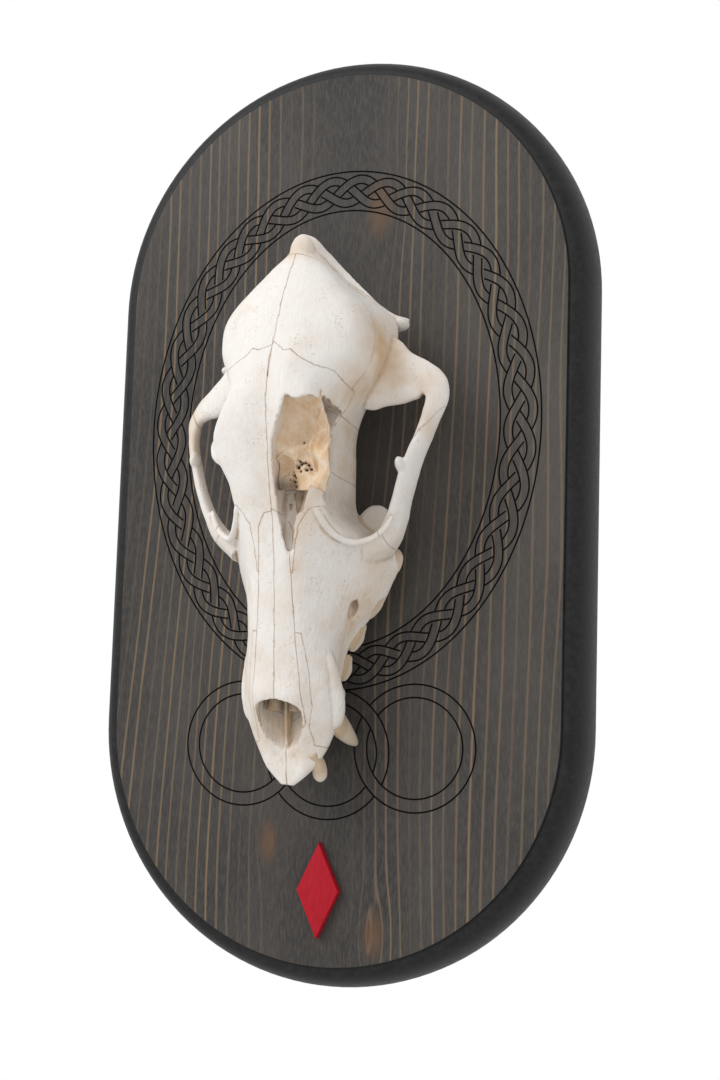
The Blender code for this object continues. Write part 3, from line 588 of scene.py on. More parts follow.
def crest():
    """Thin ovals from ear to ear over the peak, each with its long way towards the hub of the brain case."""
    half = np.array(NUCHAL_CREST, float)
    path = along(np.concatenate((half, mirrored(half[::-1], -1))), 110)
    inward = np.array(CREST_HUB) - path
    inward /= np.linalg.norm(inward, axis=1)[:, None]
    across = np.cross(inward, np.gradient(path, axis=0))
    across /= np.linalg.norm(across, axis=1)[:, None]
    return tube("crest", ovals(path + inward * 5.6, inward * 7.0, across * 1.9, 20))


pieces = [crest(), lump("peak", *PEAK)]
for side, side_word in ((1, "left"), (-1, "right")):
    pieces += [lump(name, *shape, side=side) for name, shape in KNOBS.items()]
    pieces.append(arch(side_word, side))
    root = np.array(CANINE_ROOT)
    pieces.append(rod("canine_root", root[:, :3], root[:, 3], side))
    pieces.append(rod("orbit_rim", ORBIT_RIM, ORBIT_RIM_RADIUS, side))
pieces.append(lump("brow_point", (20.2, 82.5, 50.6), (6.0, 6.5, 3.4), -1))
pieces.append(lump("brow_stump", (16.5, 71.0, 53.5), (3.4, 4.0, 3.0), 1))
pieces.append(lump("cheek_point_left", (38.9, 81.0, 26.2), (1.9, 2.6, 5.4), 1, lean=14.0))
pieces.append(lump("cheek_point_right", (45.4, 80.0, 26.0), (1.7, 3.0, 3.6), -1))
combine(skull, pieces, "UNION")
print("joined:", len(skull.data.vertices), "corners")

# %% [markdown]
# ## Openings
# The nose opens in front, the neck at the back, and a nerve leaves through a hole under the eye. On this skull the
# roof over the left sinus is broken away as well, down to thin ragged edges. We cut each opening with a Boolean. A
# first cutter goes through the roof along the ragged outline. A second, wider one stays just under the roof and
# hollows out the sinus, which leaves the roof as a thin shell.

# %% Openings
NOSE_CAVITY = ((134, 3.5, 15, 24), (146, 7.0, 9.5, 29), (158, 8.4, 8.0, 26.2), (168, 8.8, 8.0, 24.6),
               (176, 8.8, 8.2, 34), (182, 8.2, 8.6, 34), (186.5, 5.0, 9.6, 34))
ROOF_HOLE = ((7.4, 66.3), (9.0, 66.9), (10.7, 68.0), (12.9, 67.8), (13.7, 66.7), (16.4, 66.0), (18.4, 66.9),
             (19.3, 68.4), (19.2, 70.4), (20.3, 72.4), (22.4, 74.4), (34.0, 75.0), (34.0, 97.0), (19.0, 96.5),
             (15.2, 95.6), (13.8, 98.0), (12.4, 101.6), (11.2, 104.0), (9.1, 105.9), (8.1, 109.0), (7.4, 114.5),
             (6.9, 118.5), (6.0, 121.0), (4.6, 116.7), (3.4, 111.1), (2.3, 104.9), (2.4, 100.1), (1.9, 94.6),
             (1.7, 88.9), (1.7, 83.6), (2.2, 80.5), (3.6, 77.3), (5.2, 73.4), (6.6, 69.6))
SINUS = ((5.0, 63.5), (12.0, 62.5), (18.5, 64.0), (20.5, 69.0), (21.5, 74.0), (40.0, 74.5), (40.0, 97.5),
         (18.6, 97.0), (16.0, 104.0), (12.0, 108.5), (9.4, 112.0), (8.2, 119.0), (6.4, 123.0), (3.0, 122.0), (1.4, 112.0),
         (0.9, 100.0), (0.9, 86.0), (1.0, 79.0), (2.4, 72.0), (3.4, 66.0))
ROOF_THICKNESS = 1.5


def ragged(outline, step, size, seed):
    """An outline cut into short steps, each pushed aside by a smooth random amount."""
    plan = np.array(outline, float)
    after = np.roll(plan, -1, 0)
    length = np.linalg.norm((after - plan)[:, :2], axis=1)
    parts = []
    for start, end, run in zip(plan, after, length):
        t = np.linspace(0, 1, max(int(run / step), 1), endpoint=False)[:, None]
        parts.append(start + (end - start) * t)
    dense = np.concatenate(parts)
    run = np.roll(dense, -1, 0)[:, :2] - np.roll(dense, 1, 0)[:, :2]
    run /= np.linalg.norm(run, axis=1)[:, None] + 1e-9
    aside = np.column_stack((run[:, 1], -run[:, 0]))
    flat = np.column_stack((dense[:, :2], np.zeros(len(dense))))
    push = wander(flat, step * 2.4, seed) * 0.7 + wander(flat, step * 5.0, seed + 5) * 0.6
    dense[:, :2] += aside * (size * push)[:, None]
    return dense


def nose_cavity():
    """Ovals along the air passage, which widens forward and opens at the front."""
    keys = np.array(NOSE_CAVITY, float)
    places = np.linspace(keys[0, 0], keys[-1, 0], 40)
    rows = through(keys, places)
    middles = np.column_stack((0 * places, places, rows[:, 1:].mean(axis=1)))
    return tube("nose_cavity", ovals(middles, np.outer(rows[:, 0], (1, 0, 0)),
                                     np.outer((rows[:, 2] - rows[:, 1]) / 2, (0, 0, 1)), 40))


hollow = prism("sinus", ragged(SINUS, 2.0, 0.5, 3), 40.0, 90.0)
under_roof = core()
shell = coordinates(under_roof.data)
spot = unlay(shell)
spot[:, 2] -= ROOF_THICKNESS
under_roof.data.vertices.foreach_set("co", lay(spot).astype(np.float32).ravel())
combine(hollow, [under_roof], "INTERSECT")
openings = [nose_cavity(), lump("foramen_magnum", (0.0, 13.0, 21.5), (7.2, 13.0, 6.0)),
            prism("roof_hole", ragged(ROOF_HOLE, 0.5, 0.28, 1), 41.0, 95.0), hollow]
for side in (1, -1):
    openings.append(lump("infraorbital", (20.6, 131.5, 12.0), (1.7, 6.0, 2.6), side))
combine(skull, openings, "DIFFERENCE")
print("opened:", len(skull.data.vertices), "corners")

# %% [markdown]
# ## One skin for the whole skull
# Real bone has no sharp joints between its parts. A voxel remesh samples the joined solid on a fine grid and
# draws one even skin round it, which also rounds every cut edge a little, as wear does. A few rounds of smoothing
# remove the steps of the grid, and a small random push gives the surface its unevenness. The result is held inside
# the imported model's box.

# %% Skin
VOXEL = 0.5


def remesh(thing, size, rounds):
    """Draws a new skin on a grid of the given size and smooths it."""
    step = thing.modifiers.new("skin", "REMESH")
    step.mode = "VOXEL"
    step.voxel_size = size * MM
    ease = thing.modifiers.new("ease", "SMOOTH")
    ease.factor = 0.5
    ease.iterations = rounds
    settle(thing)


def normals(mesh):
    flat = np.empty(len(mesh.vertices) * 3, np.float32)
    mesh.vertices.foreach_get("normal", flat)
    return flat.reshape(-1, 3).astype(float)


remesh(skull, VOXEL, 4)
places = unlay(coordinates(skull.data))
push = 0.16 * wander(places, 6.0, 2) + 0.07 * wander(places, 2.2, 3)
striae = wander(places * np.array((1.0, 0.16, 1.0)), 0.9, 4) * np.clip((places[:, 1] - 95) / 20, 0.15, 1)
moved = coordinates(skull.data) + normals(skull.data) * ((push + 0.07 * striae) * MM)[:, None]
moved = np.clip(moved, cad_box[0], cad_box[1])
skull.data.vertices.foreach_set("co", moved.astype(np.float32).ravel())
skull.data.update()
print("skin:", len(skull.data.vertices), "corners")

# %% [markdown]
# ## Sutures
# The bones of a skull meet along wavy seams. We part the skin with thin blocks over the outline of each bone, in
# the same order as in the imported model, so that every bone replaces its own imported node. The outlines are made
# ragged first. The left bones come first and keep the seam along the middle, and the right ones take what is left.

# %% Sutures
NASAL = ((0.1, 104, 41), (3.0, 105.5, 40.5), (5.6, 110, 39), (6.3, 125, 35.5), (7.4, 145, 29), (8.8, 160, 24),
         (9.9, 171, 19.5), (9.9, 184, 14), (0.1, 184, 14))
PREMAXILLA = ((0.1, 175, -20), (0.1, 206, -20), (32, 206, -20), (32, 184, -20), (11.2, 183.2, -20),
              (10.6, 177.4, 3), (12.6, 170, 11), (11.6, 158, 17), (9.6, 145.5, 23), (6.6, 145.5, 23),
              (6.6, 160, 15), (6.6, 171, 4))
FRONTAL = ((0.1, 46.4, 52), (4.8, 50.3, 52), (7.4, 49.6, 52), (10.6, 52.6, 51), (15.8, 54.6, 48), (21.2, 55.1, 44),
           (25.1, 59.4, 39), (26.2, 62.5, 37), (31, 66, 34), (34, 84, 30), (30, 97, 28), (19.5, 100.5, 31),
           (13.5, 103.5, 35), (9.6, 109, 36.5), (8.0, 116, 35.5), (6.9, 125, 33), (6.0, 125, 34), (5.3, 110, 37),
           (0.1, 104.5, 39))
PARIETAL = ((0.1, 3, 44), (0.1, 60, 50), (12, 62, 46), (30, 70, 39), (42, 66, 39), (42, 12, 38), (22, 4, 42))
OCCIPITAL = ((-45, -8), (45, -8), (45, 18.5), (33.5, 18.5), (26, 20.6), (18, 15.4), (9, 10.2), (0, 9.2),
             (-9, 10.2), (-18, 15.4), (-26, 20.6), (-33.5, 18.5), (-45, 18.5))
OCCIPITAL_BASE = ((-24.0, -9), (24.0, -9), (24.0, 28.2), (-24.0, 28.2))
TEMPORAL = ((6.5, 8), (6.5, 56), (13, 64), (26, 69.5), (47, 74), (64, 74), (64, 8))
JUGAL = ((30.4, 101.2), (33.6, 108.5), (40, 113), (64, 113), (64, 53), (54.5, 53), (50.6, 59), (42.6, 71.5),
         (34.0, 80), (29.4, 92))
MAXILLA = ((0.1, 98.4), (9.5, 98.4), (13.6, 93), (14.6, 86), (32, 86), (48, 114), (48, 206), (0.1, 206))
SUTURE_GAP = 0.07
BONES = (("nasal", NASAL, 0.12), ("premaxilla", PREMAXILLA, 0.15), ("frontal", FRONTAL, 0.32), ("jugal", JUGAL, 0.2),
         ("maxilla", MAXILLA, 0.15), ("parietal", PARIETAL, 0.25), ("temporal", TEMPORAL, 0.2))


def largest(thing):
    """Keeps the closed shell with the most corners, found by passing the lowest label along the edges."""
    mesh = thing.data
    ends = np.empty(len(mesh.edges) * 2, np.int32)
    mesh.edges.foreach_get("vertices", ends)
    a, b = ends.reshape(-1, 2).T
    label = np.arange(len(mesh.vertices))
    while True:
        lowest = np.minimum(label[a], label[b])
        fresh = label.copy()
        np.minimum.at(fresh, a, lowest)
        np.minimum.at(fresh, b, lowest)
        fresh = fresh[fresh]
        if np.array_equal(fresh, label):
            break
        label = fresh
    names, size = np.unique(label, return_counts=True)
    if len(names) == 1:
        return
    keep = names[np.argmax(size)]
    trimmed = bmesh.new()
    trimmed.from_mesh(mesh)
    trimmed.verts.ensure_lookup_table()
    loose = [trimmed.verts[i] for i in np.flatnonzero(label != keep)]
    bmesh.ops.delete(trimmed, geom=loose, context="VERTS")
    trimmed.to_mesh(mesh)
    trimmed.free()


def take(skull, name, blocks, side):
    """Parts the bone inside its blocks from the skull and leaves a fine gap round it."""
    bone = bpy.data.objects.new(name, skull.data.copy())
    scene.collection.objects.link(bone)
    for grow, thing, operation in ((0.0, bone, "INTERSECT"), (SUTURE_GAP, skull, "DIFFERENCE")):
        whole, *more = [prism("block", outline, -30.0, top + grow, side, grow) for outline, top in blocks]
        if more:
            combine(whole, more, "UNION")
        combine(thing, [whole], operation)
    largest(bone)
    return bone


bones = {}
for side, side_word in ((1, "left"), (-1, "right")):
    for bone_name, outline, size in BONES:
        if bone_name == "parietal" and side == 1:
            rear = [(ragged(OCCIPITAL, 1.2, 0.25, 8), 95.0), (OCCIPITAL_BASE, 25.0)]
            bones["occipital"] = take(skull, "bone_occipital", rear, 1)
        if side == 1:
            plan = ragged(outline, 0.8, size, 7)
        else:
            plan = ragged([(row[0] if row[0] > 0.2 else -3.0, *row[1:]) for row in outline], 0.8, size, 9)
        full_name = f"{bone_name}_{side_word}"
        bones[full_name] = take(skull, f"bone_{full_name}", [(plan, 95.0)], side)
skull.name = "bone_sphenoid"
largest(skull)
bones["sphenoid"] = skull
for name, bone in bones.items():
    print(name, len(bone.data.vertices), "corners")

# %% [markdown]
# ## Dry bone
# Old bone is white where sun and wear reached it and tan where soil and fat stained it. Fine fibres run along the
# snout and tiny pores dot the brain case; the pores are darkened as painted shade in their pits. Each vertex carries
# three values that we work out from its place in the skull: how stained it is, how hollow the surface is there, and
# how near a suture's sharp edge it lies. The material turns them into colour, and the hollow value darkens the bone
# as painted shade in creases and cavities.

# %% Dry bone
STAINS = (((31, 38, 36), (9, 14, 13), 1.15), ((40, 50, 26), (9, 5, 5), 0.6), ((25, 58, 40), (6, 9, 10), 0.75),
          ((0, 155, 12), (44, 52, 26), 0.2), ((18, 84, 26), (6, 16, 12), 0.4),
          ((47, 60, 24), (3.5, 14, 6), 0.45), ((0, 6, 52), (8, 7, 6), 0.5), ((30, 108, 18), (6, 6, 8), 0.4),
          ((-48, 68, 24), (4, 16, 7), 0.55), ((11, 84, 50), (11, 22, 9), 1.1), ((8, 110, 38), (3, 14, 7), 0.7),
          ((22, 128, 8), (9, 16, 6), 0.45), ((0, 178, 10), (9, 8, 5), 0.5), ((-14, 150, 20), (4, 30, 6), 0.35),
          ((0, 60, 10), (30, 60, 10), 0.5), ((20, 80, 30), (6, 16, 10), 0.35))


def neighbour_mean(mesh, values):
    """For each vertex, the average of the values of the vertices that an edge joins to it."""
    ends = np.empty(len(mesh.edges) * 2, np.int32)
    mesh.edges.foreach_get("vertices", ends)
    a, b = ends.reshape(-1, 2).T
    count = len(mesh.vertices)
    near = np.maximum(np.bincount(a, minlength=count) + np.bincount(b, minlength=count), 1)
    columns = [np.bincount(a, values[b, i], count) + np.bincount(b, values[a, i], count)
               for i in range(values.shape[1])]
    return np.column_stack(columns) / near[:, None]


def write_value(mesh, name, values):
    layer = mesh.attributes.new(name, "FLOAT", "POINT")
    layer.data.foreach_set("value", np.asarray(values, np.float32))


def stain_values(places):
    """Tan stain: soft round spots where the real one is stained, broken up by random patches."""
    total = np.zeros(len(places))
    for middle, half, amount in STAINS:
        away = np.sum(((places - np.array(middle)) / np.array(half)) ** 2, axis=1)
        total += amount * np.exp(-away)
    patches = 0.7 * wander(places, 7.0, 11) + 0.3 * wander(places, 2.6, 12)
    return np.clip(total * (1 + 0.6 * patches) + 0.10 * patches, 0, 1.5)


def hollow_shade_values(mesh, rounds=3):
    """How far each vertex lies inside the mean of its neighbours, along its normal, eased over a few rounds; the
    bone's colour takes painted shade from it.
    """
    spots = coordinates(mesh)
    depth = np.sum((neighbour_mean(mesh, spots) - spots) * normals(mesh), axis=1)[:, None]
    for _ in range(rounds):
        depth = 0.5 * depth + 0.5 * neighbour_mean(mesh, depth)
    return depth[:, 0] / (0.02 * MM)


def seam_values(mesh, rounds=2):
    """1 on the sharp edges that the suture cuts left, easing off over a few rounds of neighbours."""
    ends = np.empty(len(mesh.edges) * 2, np.int32)
    mesh.edges.foreach_get("vertices", ends)
    sharp = np.empty(len(mesh.edges), bool)
    mesh.attributes["sharp_edge"].data.foreach_get("value", sharp)
    near = np.zeros((len(mesh.vertices), 1))
    near[ends.reshape(-1, 2)[sharp].ravel()] = 1.0
    for _ in range(rounds):
        near = np.maximum(near, 0.9 * neighbour_mean(mesh, near))
    return near[:, 0]


dry_bone, tree, shader = new_paint("dry_bone")
stain = attribute(tree, "stain")
hollow_shade = attribute(tree, "hollow")
seam_value = attribute(tree, "seam")
fibres = noise(tree, stretched(tree, (1400.0, 1400.0, 160.0), (math.radians(7.0), 0.0, 0.0)), 1.0, 5.0, 0.6)
cloud = noise(tree, stretched(tree, (1.0, 1.0, 1.0)), 90.0, 5.0, 0.6)
pores = node(tree, "ShaderNodeTexVoronoi", {"Vector": stretched(tree, (1.0, 1.0, 1.0)), "Scale": 950.0})
pits = curve(tree, pores.outputs["Distance"], 0.10, 0.32, 1.0, 0.0)
sparse = maths(tree, "MULTIPLY", pits, curve(tree, noise(tree, stretched(tree, (1, 1, 1)), 160.0), 0.52, 0.66))
amount = maths(tree, "ADD", stain, curve(tree, cloud, 0.45, 0.80, -0.05, 0.30))
colour = mix(tree, curve(tree, amount, 0.0, 1.3), (0.80, 0.768, 0.728), (0.55, 0.355, 0.18))
colour = mix(tree, curve(tree, fibres, 0.45, 0.75, 0.0, 0.22), colour, (0.58, 0.46, 0.33))
# Painted shade: the bone turns brown and darker where its surface is hollow, as shade in creases and cavities.
colour = mix(tree, curve(tree, hollow_shade, 0.1, 1.6, 0.0, 0.65), colour, (0.42, 0.29, 0.17))
uneven = curve(tree, cloud, 0.3, 0.6, 0.35, 1.0)
seam_amount = maths(tree, "MULTIPLY", curve(tree, seam_value, 0.25, 1.0, 0.0, 0.8), uneven)
colour = mix(tree, seam_amount, colour, (0.36, 0.22, 0.12))
# Painted shade: the scattered pore pits are darkened, as shade inside them.
colour = mix(tree, maths(tree, "MULTIPLY", sparse, 0.5), colour, (0.34, 0.24, 0.15))
tree.links.new(colour, shader.inputs["Base Color"])
shader.inputs["Roughness"].default_value = 0.62
shader.inputs["Specular IOR Level"].default_value = 0.3
relief = bump(tree, fibres, 0.00018, 0.55)
relief = bump(tree, sparse, -0.00015, 0.6, relief)
tree.links.new(relief, shader.inputs["Normal"])

for name, bone in bones.items():
    mesh = bone.data
    write_value(mesh, "stain", stain_values(unlay(coordinates(mesh))))
    # The hollow value drives the painted shade of creases and cavities.
    write_value(mesh, "hollow", hollow_shade_values(mesh))
    mesh.materials.clear()
    mesh.materials.append(dry_bone)
    mesh.shade_smooth()
    mesh.set_sharp_from_angle(angle=math.radians(50))
    write_value(mesh, "seam", seam_values(mesh))
    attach(bone, "root")
    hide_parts(name)
print("bones dressed:", len(bones))

# %% [markdown]
# ## Teeth
# A cheek tooth is a crown with cusps that stands on a narrower neck. We make each crown as a height map wrapped
# over an oval: the outer rings are the side wall, the inner ones the chewing face, and each cusp is a soft bump.
# The canine is a curved cone. They sink into the sockets of their bone.

# %% Teeth
# Each tooth: middle lateral and rostral, half length, half width, turn, and cusps as places on it with a height
CHEEK_TEETH = {
    "upper_molar_1": (25.6, 110.6, 6.2, 8.2, -12,
                      ((-2.4, 3.2, 4.6), (2.4, 3.0, 4.2), (-1.5, -3.6, 2.2), (2.0, -3.2, 1.8))),
    "upper_molar_2": (22.4, 99.6, 3.6, 5.4, -8, ((-1.2, 2.4, 2.2), (1.4, 2.0, 2.0), (0.0, -2.2, 1.2))),
    "carnassial": (24.4, 125.0, 9.2, 4.0, -22, ((-3.4, 0.6, 4.4), (2.4, 0.6, 7.6), (7.0, -2.8, 1.6))),
    "premolar_3": (18.8, 140.4, 6.0, 2.5, -16, ((0.4, 0.0, 5.4), (-3.8, 0.0, 2.2))),
    "premolar_2": (15.6, 152.4, 5.2, 2.2, -6, ((0.6, 0.0, 4.4), (-3.2, 0.0, 1.4))),
    "premolar_1": (14.4, 162.6, 2.8, 1.9, 0, ((0.2, 0.0, 3.2),)),
}
ROOT_TOP = 3.0
GUM_LINE = 1.5


def cheek_tooth(name, shape, side, rings=26, around=40):
    """A closed crown: r is 1 on the side wall and falls to 0 at the middle; depth is the neck plus soft cusps."""
    lateral, rostral, half_length, half_width, turn, cusps = shape
    wall = np.linspace(0, 1, rings // 2)
    face = np.linspace(1, 0.03, rings - rings // 2)[1:]
    reach = np.concatenate((0.82 + 0.18 * np.sin(wall * np.pi / 2), face))
    angle = np.linspace(0, 2 * np.pi, around, endpoint=False)
    box = (np.abs(np.cos(angle)) ** 2.6 + np.abs(np.sin(angle)) ** 2.6) ** (-1 / 2.6)
    along_tooth = np.outer(reach, half_length * box * np.cos(angle))
    across_tooth = np.outer(reach, half_width * box * np.sin(angle))
    depth = np.full_like(along_tooth, 1.4)
    for l, w, height in cusps:
        away = ((along_tooth - l) / 1.9) ** 2 + ((across_tooth - w) / 1.7) ** 2
        depth = np.maximum(depth, 1.4 + height * np.exp(-0.55 * away))
    start = len(wall)
    rise = np.concatenate((wall, np.ones(len(face))))[:, None]
    edge = np.repeat(depth[start - 1][None], len(reach), 0)
    on_wall = np.arange(len(reach))[:, None] < start
    below = np.where(on_wall, ROOT_TOP - (ROOT_TOP - (GUM_LINE - edge)) * rise, GUM_LINE - depth)
    turned = math.radians(turn)
    x = lateral + across_tooth * math.cos(turned) + along_tooth * math.sin(turned)
    y = rostral + along_tooth * math.cos(turned) - across_tooth * math.sin(turned)
    return tube(name, mirrored(np.stack((x, y, below), axis=-1), side))


def fang(name, path, half_widths, half_lengths, side, around=28):
    """A curved cone: ovals along a path, their sizes given row by row, closed at a blunt tip."""
    keys = np.column_stack((np.array(path, float), half_widths, half_lengths))
    rows = along(keys, 44)
    middles = rows[:, :3]
    forward = np.gradient(middles, axis=0)
    forward /= np.linalg.norm(forward, axis=1)[:, None]
    long_way = np.cross(forward, np.array((1.0, 0.0, 0.0)))
    long_way /= np.linalg.norm(long_way, axis=1)[:, None]
    wide = np.cross(long_way, forward)
    return tube(name, mirrored(ovals(middles, wide * rows[:, 3:4], long_way * rows[:, 4:5], around), side))


teeth = {}
for side, side_word in ((1, "left"), (-1, "right")):
    made = [cheek_tooth(name, shape, side) for name, shape in CHEEK_TEETH.items()]
    made.append(fang("canine", ((15.4, 170.5, 9.0), (15.6, 172.6, 4.0), (16.2, 174.6, -1.5), (16.9, 176.8, -8.0),
                                (17.3, 178.3, -13.6), (17.4, 178.7, -16.0)),
                     (3.0, 3.4, 3.1, 2.4, 1.4, 0.5), (4.4, 4.8, 4.3, 3.2, 1.7, 0.6), side))
    if side == 1:
        made.append(fang("incisor", ((9.6, 185.5, 8.0), (10.0, 187.6, 4.0), (10.2, 190.0, 1.0), (9.6, 192.8, -2.4),
                                     (9.0, 194.4, -4.6)),
                         (1.9, 2.3, 2.7, 2.6, 1.0), (2.2, 2.6, 2.9, 2.6, 1.0), side))
    first, *others = made
    combine(first, others, "UNION")
    first.name = f"teeth_{side_word}"
    teeth[side_word] = first
print("teeth:", {word: len(thing.data.vertices) for word, thing in teeth.items()})

# %% [markdown]
# Enamel is smoother, whiter and glossier than bone. It turns to tan near the gum line and has fine upright cracks.

# %% Enamel
enamel, tree, shader = new_paint("tooth_enamel")
lines = noise(tree, stretched(tree, (900.0, 260.0, 900.0), (math.radians(7.0), 0.0, 0.0)), 1.0, 4.0, 0.6)
warm = curve(tree, attribute(tree, "neck"), 0.0, 1.0, 0.0, 0.75)
colour = mix(tree, warm, (0.76, 0.69, 0.58), (0.50, 0.35, 0.20))
colour = mix(tree, curve(tree, lines, 0.52, 0.72, 0.0, 0.3), colour, (0.44, 0.32, 0.2))
tree.links.new(colour, shader.inputs["Base Color"])
shader.inputs["Roughness"].default_value = 0.34
tree.links.new(bump(tree, lines, 0.00008, 0.5), shader.inputs["Normal"])
for side_word, thing in teeth.items():
    spots = unlay(coordinates(thing.data))
    near_neck = np.clip((spots[:, 2] + 1.5) / 4.0, 0, 1)
    near_canine = np.clip((spots[:, 1] - 168) / 4, 0, 1) * np.clip((184 - spots[:, 1]) / 3, 0, 1)
    write_value(thing.data, "neck", np.clip(near_neck + 0.55 * near_canine, 0, 1))
    thing.data.materials.clear()
    thing.data.materials.append(enamel)
    thing.data.shade_smooth()
    thing.data.set_sharp_from_angle(angle=math.radians(60))
    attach(thing, "root")
print("enamel ready")

# %% [markdown]
# ## Inside the broken roof
# The floor of the sinus is a thin lumpy lining with scalloped cups, a low ridge and clusters of pores where the
# nerves of smell came through. It is a height map: the height over each place is a sum of bowls, ridges and pits.

# %% Sinus lining
BOWLS = (((10.5, 73.5), (9.0, 8.5), 6.5), ((18.4, 79.0), (2.4, 3.6), 4.0), ((4.5, 88.0), (4.0, 3.2), 3.5),
         ((11.2, 84.6), (3.2, 2.4), 3.2), ((14.6, 88.6), (2.0, 3.0), 2.6), ((18.6, 72.4), (2.0, 3.0), 2.0))
RIDGES = ((((18.2, 69.4), (14.8, 73.6), (14.0, 80.4), (14.7, 84.7)), 0.55, 2.2),
          (((0.8, 86.6), (4.0, 84.6), (8.0, 86.4), (8.6, 90.0)), 0.5, 2.0),
          (((8.6, 86.6), (9.2, 83.4), (12.2, 82.2), (14.6, 85.0), (15.0, 89.0)), 0.5, 2.2),
          (((3.0, 100.0), (2.6, 93.0), (4.6, 90.6), (6.8, 91.6), (7.6, 96.0)), 0.45, 2.6))
PORES = ((9.0, 88.8, 0.8), (10.2, 87.6, 0.9), (11.4, 87.2, 0.7), (12.6, 87.8, 0.55), (12.0, 89.6, 0.6),
         (13.2, 89.0, 0.5), (10.0, 90.2, 0.45), (5.8, 91.2, 0.5), (6.6, 90.2, 0.45), (7.4, 91.6, 0.55),
         (6.2, 93.0, 0.5), (7.6, 93.8, 0.5), (6.8, 95.2, 0.55), (8.2, 95.4, 0.4), (10.2, 79.8, 0.45),
         (8.0, 92.4, 0.35), (9.4, 86.6, 0.45))
LINING_SLOPE = ((60, 60.0), (66, 59.0), (74, 56.0), (84, 53.0), (90, 49.5), (98, 46.5), (106, 43.0), (124, 36.0))


def from_line(points, line):
    """Distance of flat points from a bent line, as the nearest over its straight parts."""
    line = np.array(line, float)
    best = np.full(len(points), np.inf)
    for a, b in zip(line[:-1], line[1:]):
        t = np.clip((points - a) @ (b - a) / np.sum((b - a) ** 2), 0, 1)
        best = np.minimum(best, np.linalg.norm(points - (a + t[:, None] * (b - a)), axis=1))
    return best


def lining_height(lateral, rostral):
    """A sloping floor, less its bowls, plus its ridges, less its pores."""
    flat = np.column_stack((lateral, rostral))
    height = through(LINING_SLOPE, rostral)[:, 0]
    for middle, half, depth in BOWLS:
        away = np.sum(((flat - np.array(middle)) / np.array(half)) ** 2, axis=1)
        height -= depth * np.exp(-away ** 1.6)
    for line, width, lift in RIDGES:
        height += lift * np.exp(-(from_line(flat, line) / width) ** 2)
    height += 0.25 * wander(np.column_stack((flat, 0 * lateral)), 2.2, 21)
    for x, y, r in PORES:
        away = np.hypot(flat[:, 0] - x, flat[:, 1] - y) / r
        height -= 2.6 * np.clip(1.25 - away, 0, 1)
    return height


def lining(name, low, high, steps, depth):
    """The height map over a box of lateral and rostral, with a wall and a floor to close it."""
    u, v = np.meshgrid(np.linspace(low[0], high[0], steps[0]), np.linspace(low[1], high[1], steps[1]), indexing="ij")
    top = np.stack((u, v, lining_height(u.ravel(), v.ravel()).reshape(u.shape)), axis=-1)
    roof = roof_height(u.ravel(), v.ravel()).reshape(u.shape) - 0.9
    top[..., 2] = np.minimum(top[..., 2], roof)
    base = top.copy()
    base[..., 2] -= depth
    grid = np.arange(steps[0] * steps[1]).reshape(steps)
    a, b, c, d = grid[:-1, :-1], grid[1:, :-1], grid[1:, 1:], grid[:-1, 1:]
    upper = np.stack((a, b, c, d), -1).reshape(-1, 4)
    lower = upper[:, ::-1] + grid.size
    rim = np.concatenate((grid[:, 0], grid[-1, 1:], grid[-2::-1, -1], grid[0, -2:0:-1]))
    after = np.roll(rim, -1)
    wall = np.column_stack((rim, rim + grid.size, after + grid.size, after))
    faces = np.concatenate((upper, lower, wall))
    return thing_of(name, lay(np.concatenate((top.reshape(-1, 3), base.reshape(-1, 3)))), faces.tolist())


sinus_floor = lining("sinus_lining", (1.2, 62.6), (21.0, 96.5), (130, 220), 1.2)
combine(sinus_floor, [core()], "INTERSECT")
print("sinus lining:", len(sinus_floor.data.vertices), "corners")

# %% [markdown]
# ## Scrolls in the nose
# Paper-thin scrolls of bone fill the nose. Through the slit and the nose opening only their edges show, brown and
# darkened by painted shade, since the inside of the nose lies in shade. Each is a wavy sheet that runs along the
# snout, with a little thickness. Their finish also paints shade into the pores of the sinus lining and on its floor
# towards the slit.

# %% Scrolls
def sheet_solid(name, points, thickness):
    """A sheet of grid points made solid: a copy pushed along the grid's own normals, joined round the rim."""
    du, dv = np.gradient(points, axis=0), np.gradient(points, axis=1)
    across = np.cross(du, dv)
    across /= np.linalg.norm(across, axis=-1)[..., None] + 1e-9
    top, base = points + across * thickness / 2, points - across * thickness / 2
    grid = np.arange(points.shape[0] * points.shape[1]).reshape(points.shape[:2])
    upper = np.stack((grid[:-1, :-1], grid[1:, :-1], grid[1:, 1:], grid[:-1, 1:]), -1).reshape(-1, 4)
    lower = upper[:, ::-1] + grid.size
    rim = np.concatenate((grid[:, 0], grid[-1, 1:], grid[-2::-1, -1], grid[0, -2:0:-1]))
    after = np.roll(rim, -1)
    wall = np.column_stack((rim, rim + grid.size, after + grid.size, after))
    corners = np.concatenate((top.reshape(-1, 3), base.reshape(-1, 3)))
    return thing_of(name, lay(corners), np.concatenate((upper, lower, wall)).tolist())


def scroll(name, start, end, radius, turns, seed, squeeze=1.0):
    """A rolled sheet: a spiral across the snout, carried along it, waving slowly."""
    u, v = np.meshgrid(np.linspace(0, 1, 60), np.linspace(0, 1, 60), indexing="ij")
    middle = np.array(start)[None, None] + (np.array(end) - np.array(start))[None, None] * u[..., None]
    angle = 2 * np.pi * turns * v + 0.6 * np.sin(5 * u + seed)
    size = radius * (0.25 + 0.75 * v) * (1 + 0.12 * np.sin(9 * u + 2 * seed))
    offset = np.stack((np.cos(angle) * size * squeeze, 0 * size, np.sin(angle) * size), axis=-1)
    return sheet_solid(name, middle + offset, 0.35)


